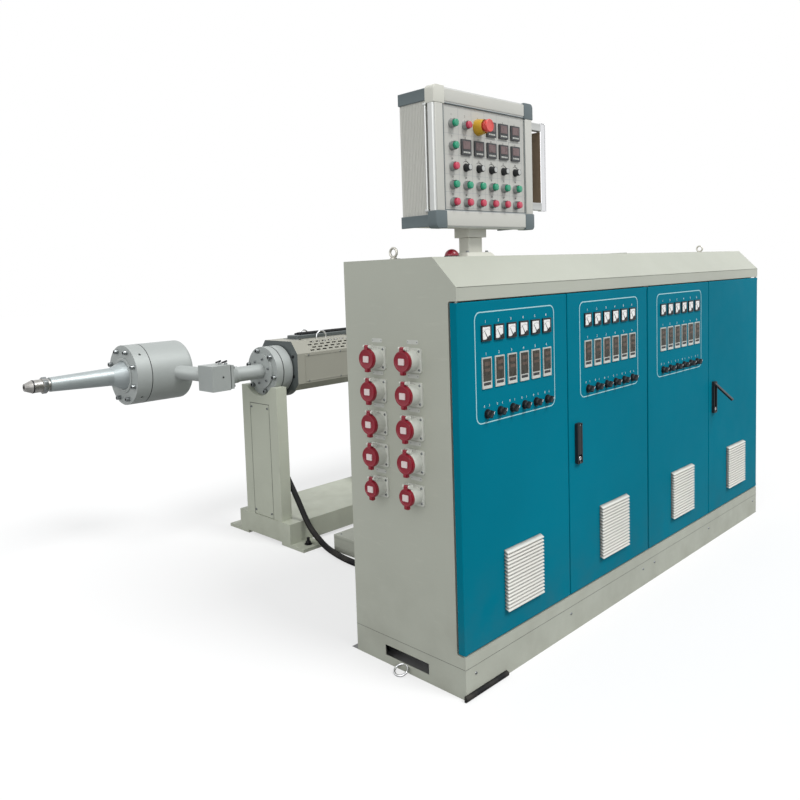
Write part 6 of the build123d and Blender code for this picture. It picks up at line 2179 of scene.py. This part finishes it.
@dataclass
class Stand:
    """Column, base, bed and the anchors that hold them down.

    The groove is a width and a depth.
    """

    panel_half: float = 0.078
    panel_drop: float = 0.085
    groove: Flat = (0.004, 0.0036)
    foot_length: float = 0.135
    bed_panels: int = 4
    bed_rise: float = 0.171

    def build(self) -> None:
        """Dresses the base and adds screws, anchors and panels."""
        for node in ("stand_column", "base_frame", "machine_bed"):
            dress(node, Finishes.STAND)
        self.column_panel()
        self.anchors()
        self.side_panels()

    def column_panel(self) -> None:
        """Screws of the column's cover panel, and dark strips as painted shade at the bottom of the groove
        round it.
        """
        low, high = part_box("stand_column")
        y, top = middle_of("adapter_flange").y, high.z - self.panel_drop
        places = [(low.x, y + side, z) for side in (-0.064, 0.064) for z in (low.z + 0.024, top - 0.021)]
        FASTENERS.cap_screws("column_screws", 0.0055, 0.004, places, Axis.LEFT, "zinc_plate")
        half, (width, deep) = self.panel_half, self.groove
        spans = (
            ((y - half, low.z), (y - half + width, top)),
            ((y + half - width, low.z), (y + half, top)),
            ((y - half, top - width), (y + half, top)),
        )
        # Painted shade: dark strips at the bottom of the groove.
        strips = [
            Piece.block((low.x + 0.0012, y0, z0), (low.x + deep, y1, z1)).paint(Finishes.SEAM)
            for (y0, z0), (y1, z1) in spans
        ]
        mount("column_groove_shade", strips, "stand_paint")

    def anchors(self) -> None:
        """Anchor bolts with washers through the six foot plates."""
        low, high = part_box("base_frame")
        half = self.foot_length / 2
        parts = []
        for x in (low.x + half, (low.x + high.x) / 2, high.x - half):
            for y in (low.y + 0.045, high.y - 0.045):
                nut = Piece.rod((x, y, 0.018), Axis.UP, 0.0135, 0.012, 6)
                stud = Piece.rod((x, y, 0.003), Axis.UP, 0.0078, 0.045, 16)
                parts.append(Piece.rod((x, y, 0.015), Axis.UP, 0.0185, 0.003, 28))
                parts += [nut.rounded(0.0012), stud.rounded(0.0008, 1)]
        parts = [part.paint(Finishes.BLACK_OXIDE) for part in parts]
        mount("anchor_bolts", parts, "zinc_plate")

    def side_panels(self) -> None:
        """Side panels and their screws on the bed."""
        low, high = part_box("machine_bed")
        top, run = low.z + self.bed_rise, (high.x - low.x) / self.bed_panels
        panels: list[Piece] = []
        for name, y, way in (("front", low.y, Axis.FRONT), ("back", high.y, Axis.BACK)):
            face, screws = y + way.vector.y * 0.003, []
            for index in range(self.bed_panels):
                x0, x1 = low.x + run * index + 0.03, low.x + run * (index + 1) - 0.03
                panel = Piece.block((x0, y, low.z + 0.02), (x1, face, top - 0.02))
                panels.append(
                    panel.inset(towards(way), 0.012, -0.001).rounded(0.0008, 1).paint(Finishes.STAND)
                )
                for x in (x0 + 0.007, x1 - 0.007):
                    screws += [(x, face, z) for z in (low.z + 0.027, top - 0.027)]
            FASTENERS.dome_screws(f"bed_screws_{name}", 0.0048, screws, way)
        mount("bed_panels", panels, "stand_paint")


@dataclass
class Drive:
    """Feed throat, gearbox and motor.

    A fin is half its thickness, its root inside the radius and its reach outside it. Bare spans of
    the motor are in degrees. The box is its start behind the shield and its length.
    """

    radius: float = 0.170
    fins: int = 40
    bare: tuple[Flat, ...] = ((50, 130), (235, 305))
    shield: float = 0.12
    fin: Point = (0.0022, 0.006, 0.014)
    guard: tuple[float, ...] = (0.03, 0.055, 0.08, 0.105, 0.130)
    box: Flat = (0.086, 0.158)

    def build(self) -> None:
        """Dresses the drive and adds bolts, fins, cowl and plugs."""
        dress("feed_throat", Finishes.SILVER)
        dress("gearbox", Finishes.DRIVE)
        dress("motor", Finishes.DRIVE)
        self.throat()
        self.gearbox()
        self.motor_fins()
        self.motor_cowl()
        self.motor_box()

    def throat(self) -> None:
        """Cooling water stubs of the throat."""
        front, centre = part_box("feed_throat")[0].y, middle_of("feed_throat")
        z, parts = centre.z - 0.12, []
        for x in (centre.x - 0.06, centre.x + 0.06):
            stub = Piece.rod((x, front + 0.005, z), Axis.FRONT, 0.011, 0.035, 20)
            nut = Piece.rod((x, front - 0.004, z), Axis.FRONT, 0.0165, 0.012, 6).rounded(0.001, 1)
            cap = Piece.rod((x, front - 0.029, z), Axis.FRONT, 0.0125, 0.010, 20)
            parts += [part.paint(Finishes.ZINC) for part in (stub, nut)]
            parts.append(cap.rounded(0.001).paint(Finishes.CRIMSON))
        mount("throat_stubs", parts, "machined_steel")

    def gearbox(self) -> None:
        """Flange bolts, top cover screws, oil glass, breather and drain plug."""
        low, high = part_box("gearbox")
        centre, screw_z = middle_of("gearbox"), middle_of("adapter_flange").z
        pitch = (high.x - low.x - 0.07) / 5
        bolts = [
            (low.x + 0.035 + pitch * index, y, screw_z + 0.016)
            for index in range(6)
            for y in (low.y + 0.008, high.y - 0.008)
        ]
        FASTENERS.hex_bolts("gearbox_bolts", 0.008, 0.007, bolts, Axis.UP, "drive_paint")
        lids = [
            (x, centre.y + side, high.z)
            for x in (low.x + 0.075, centre.x, high.x - 0.075)
            for side in (-0.048, 0.048)
        ]
        FASTENERS.cap_screws("gearbox_lid_screws", 0.0055, 0.005, lids, Axis.UP, "drive_paint")
        face, level = low.y + 0.014, screw_z - 0.09
        glass = Piece.rod((centre.x, face, level), Axis.FRONT, 0.022, 0.008, 36)
        glass.inset(FRONT_FACE, 0.006, -0.003).paint(Finishes.BOLT)
        lens = Piece.rod((centre.x, face - 0.005, level), Axis.FRONT, 0.0155, 0.001, 36)
        lens.rounded(0.0003, 1).paint(Finishes.DIGITS)
        plug = Piece.rod((high.x - 0.07, face, low.z + 0.05), Axis.FRONT, 0.013, 0.012, 6)
        plug.rounded(0.001, 1).paint(Finishes.BLACK_OXIDE)
        breather = Piece.rod((centre.x, centre.y, high.z), Axis.UP, 0.016, 0.022, 28)
        breather.inset(towards(Axis.UP), 0.004, 0.006).rounded(0.0015).paint(Finishes.BLACK)
        mount("gearbox_fittings", [glass, lens, plug, breather], "drive_paint")

    def motor_fins(self) -> None:
        """Cooling fins round the motor's frame."""
        low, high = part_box("motor")
        _, y, z = middle_of("adapter_flange")
        half, root, reach = self.fin
        start, end = low.x + self.shield + 0.03, high.x - 0.11
        fin = Piece.block(
            (start, y + self.radius - root, z - half), (end, y + self.radius + reach, z + half)
        )
        fin.taper(towards(Axis.BACK), (0.985, 1, 0.55), ((start + end) / 2, y, z)).paint(Finishes.DRIVE)
        angles = [360 / self.fins * (index + 0.5) for index in range(self.fins)]
        clear = [a for a in angles if not any(first < a < last for first, last in self.bare)]
        fins = fin.copies(spin((0, y, z), angle, "X") for angle in clear)
        mount("motor_fins", fins, "drive_paint")

    def motor_cowl(self) -> None:
        """Fan cowl with the rings of its guard."""
        end, (_, y, z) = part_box("motor")[1].x, middle_of("adapter_flange")
        cowl = Piece.rod((end - 0.105, y, z), Axis.RIGHT, self.radius + 0.010, 0.1035, 64)
        cowl.inset(towards(Axis.RIGHT), 0.022, -0.002).rounded(0.004, 3)
        rings = [Piece.ring((end - 0.0018, y, z), Axis.RIGHT, r, 0.0016, 48, 6) for r in self.guard]
        parts = [cowl.paint(Finishes.DRIVE), *(ring.paint(Finishes.BLACK_OXIDE) for ring in rings)]
        mount("motor_cowl", parts, "drive_paint")

    def motor_box(self) -> None:
        """Lid of the terminal box, and its gland."""
        low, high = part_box("motor")
        _, y, z = middle_of("adapter_flange")
        start, length = low.x + self.shield + self.box[0], self.box[1]
        lid = Piece.block((start, y - 0.079, high.z), (start + length, y + 0.079, high.z + 0.008))
        gland = Piece.rod((start + length / 2, y - 0.075, z + 0.205), Axis.FRONT, 0.016, 0.026, 6)
        parts = [lid.rounded(0.003).paint(Finishes.DRIVE), gland.rounded(0.001, 1).paint(Finishes.BLACK)]
        mount("motor_box_lid", parts, "drive_paint")


def main() -> None:
    """Builds every sub-assembly in order."""
    logging.basicConfig(level=logging.INFO, format="%(name)s: %(message)s")
    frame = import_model()
    NODES.update(frame["nodes"])
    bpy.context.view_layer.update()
    Studio().build()
    PowerCable().build()
    Cabinet().build()
    Sockets().build()
    for number in range(1, 5):
        Door(number).build()
    OperatorBox().build()
    Die().build()
    Barrel().build()
    Stand().build()
    Drive().build()


if __name__ == "__main__":
    main()
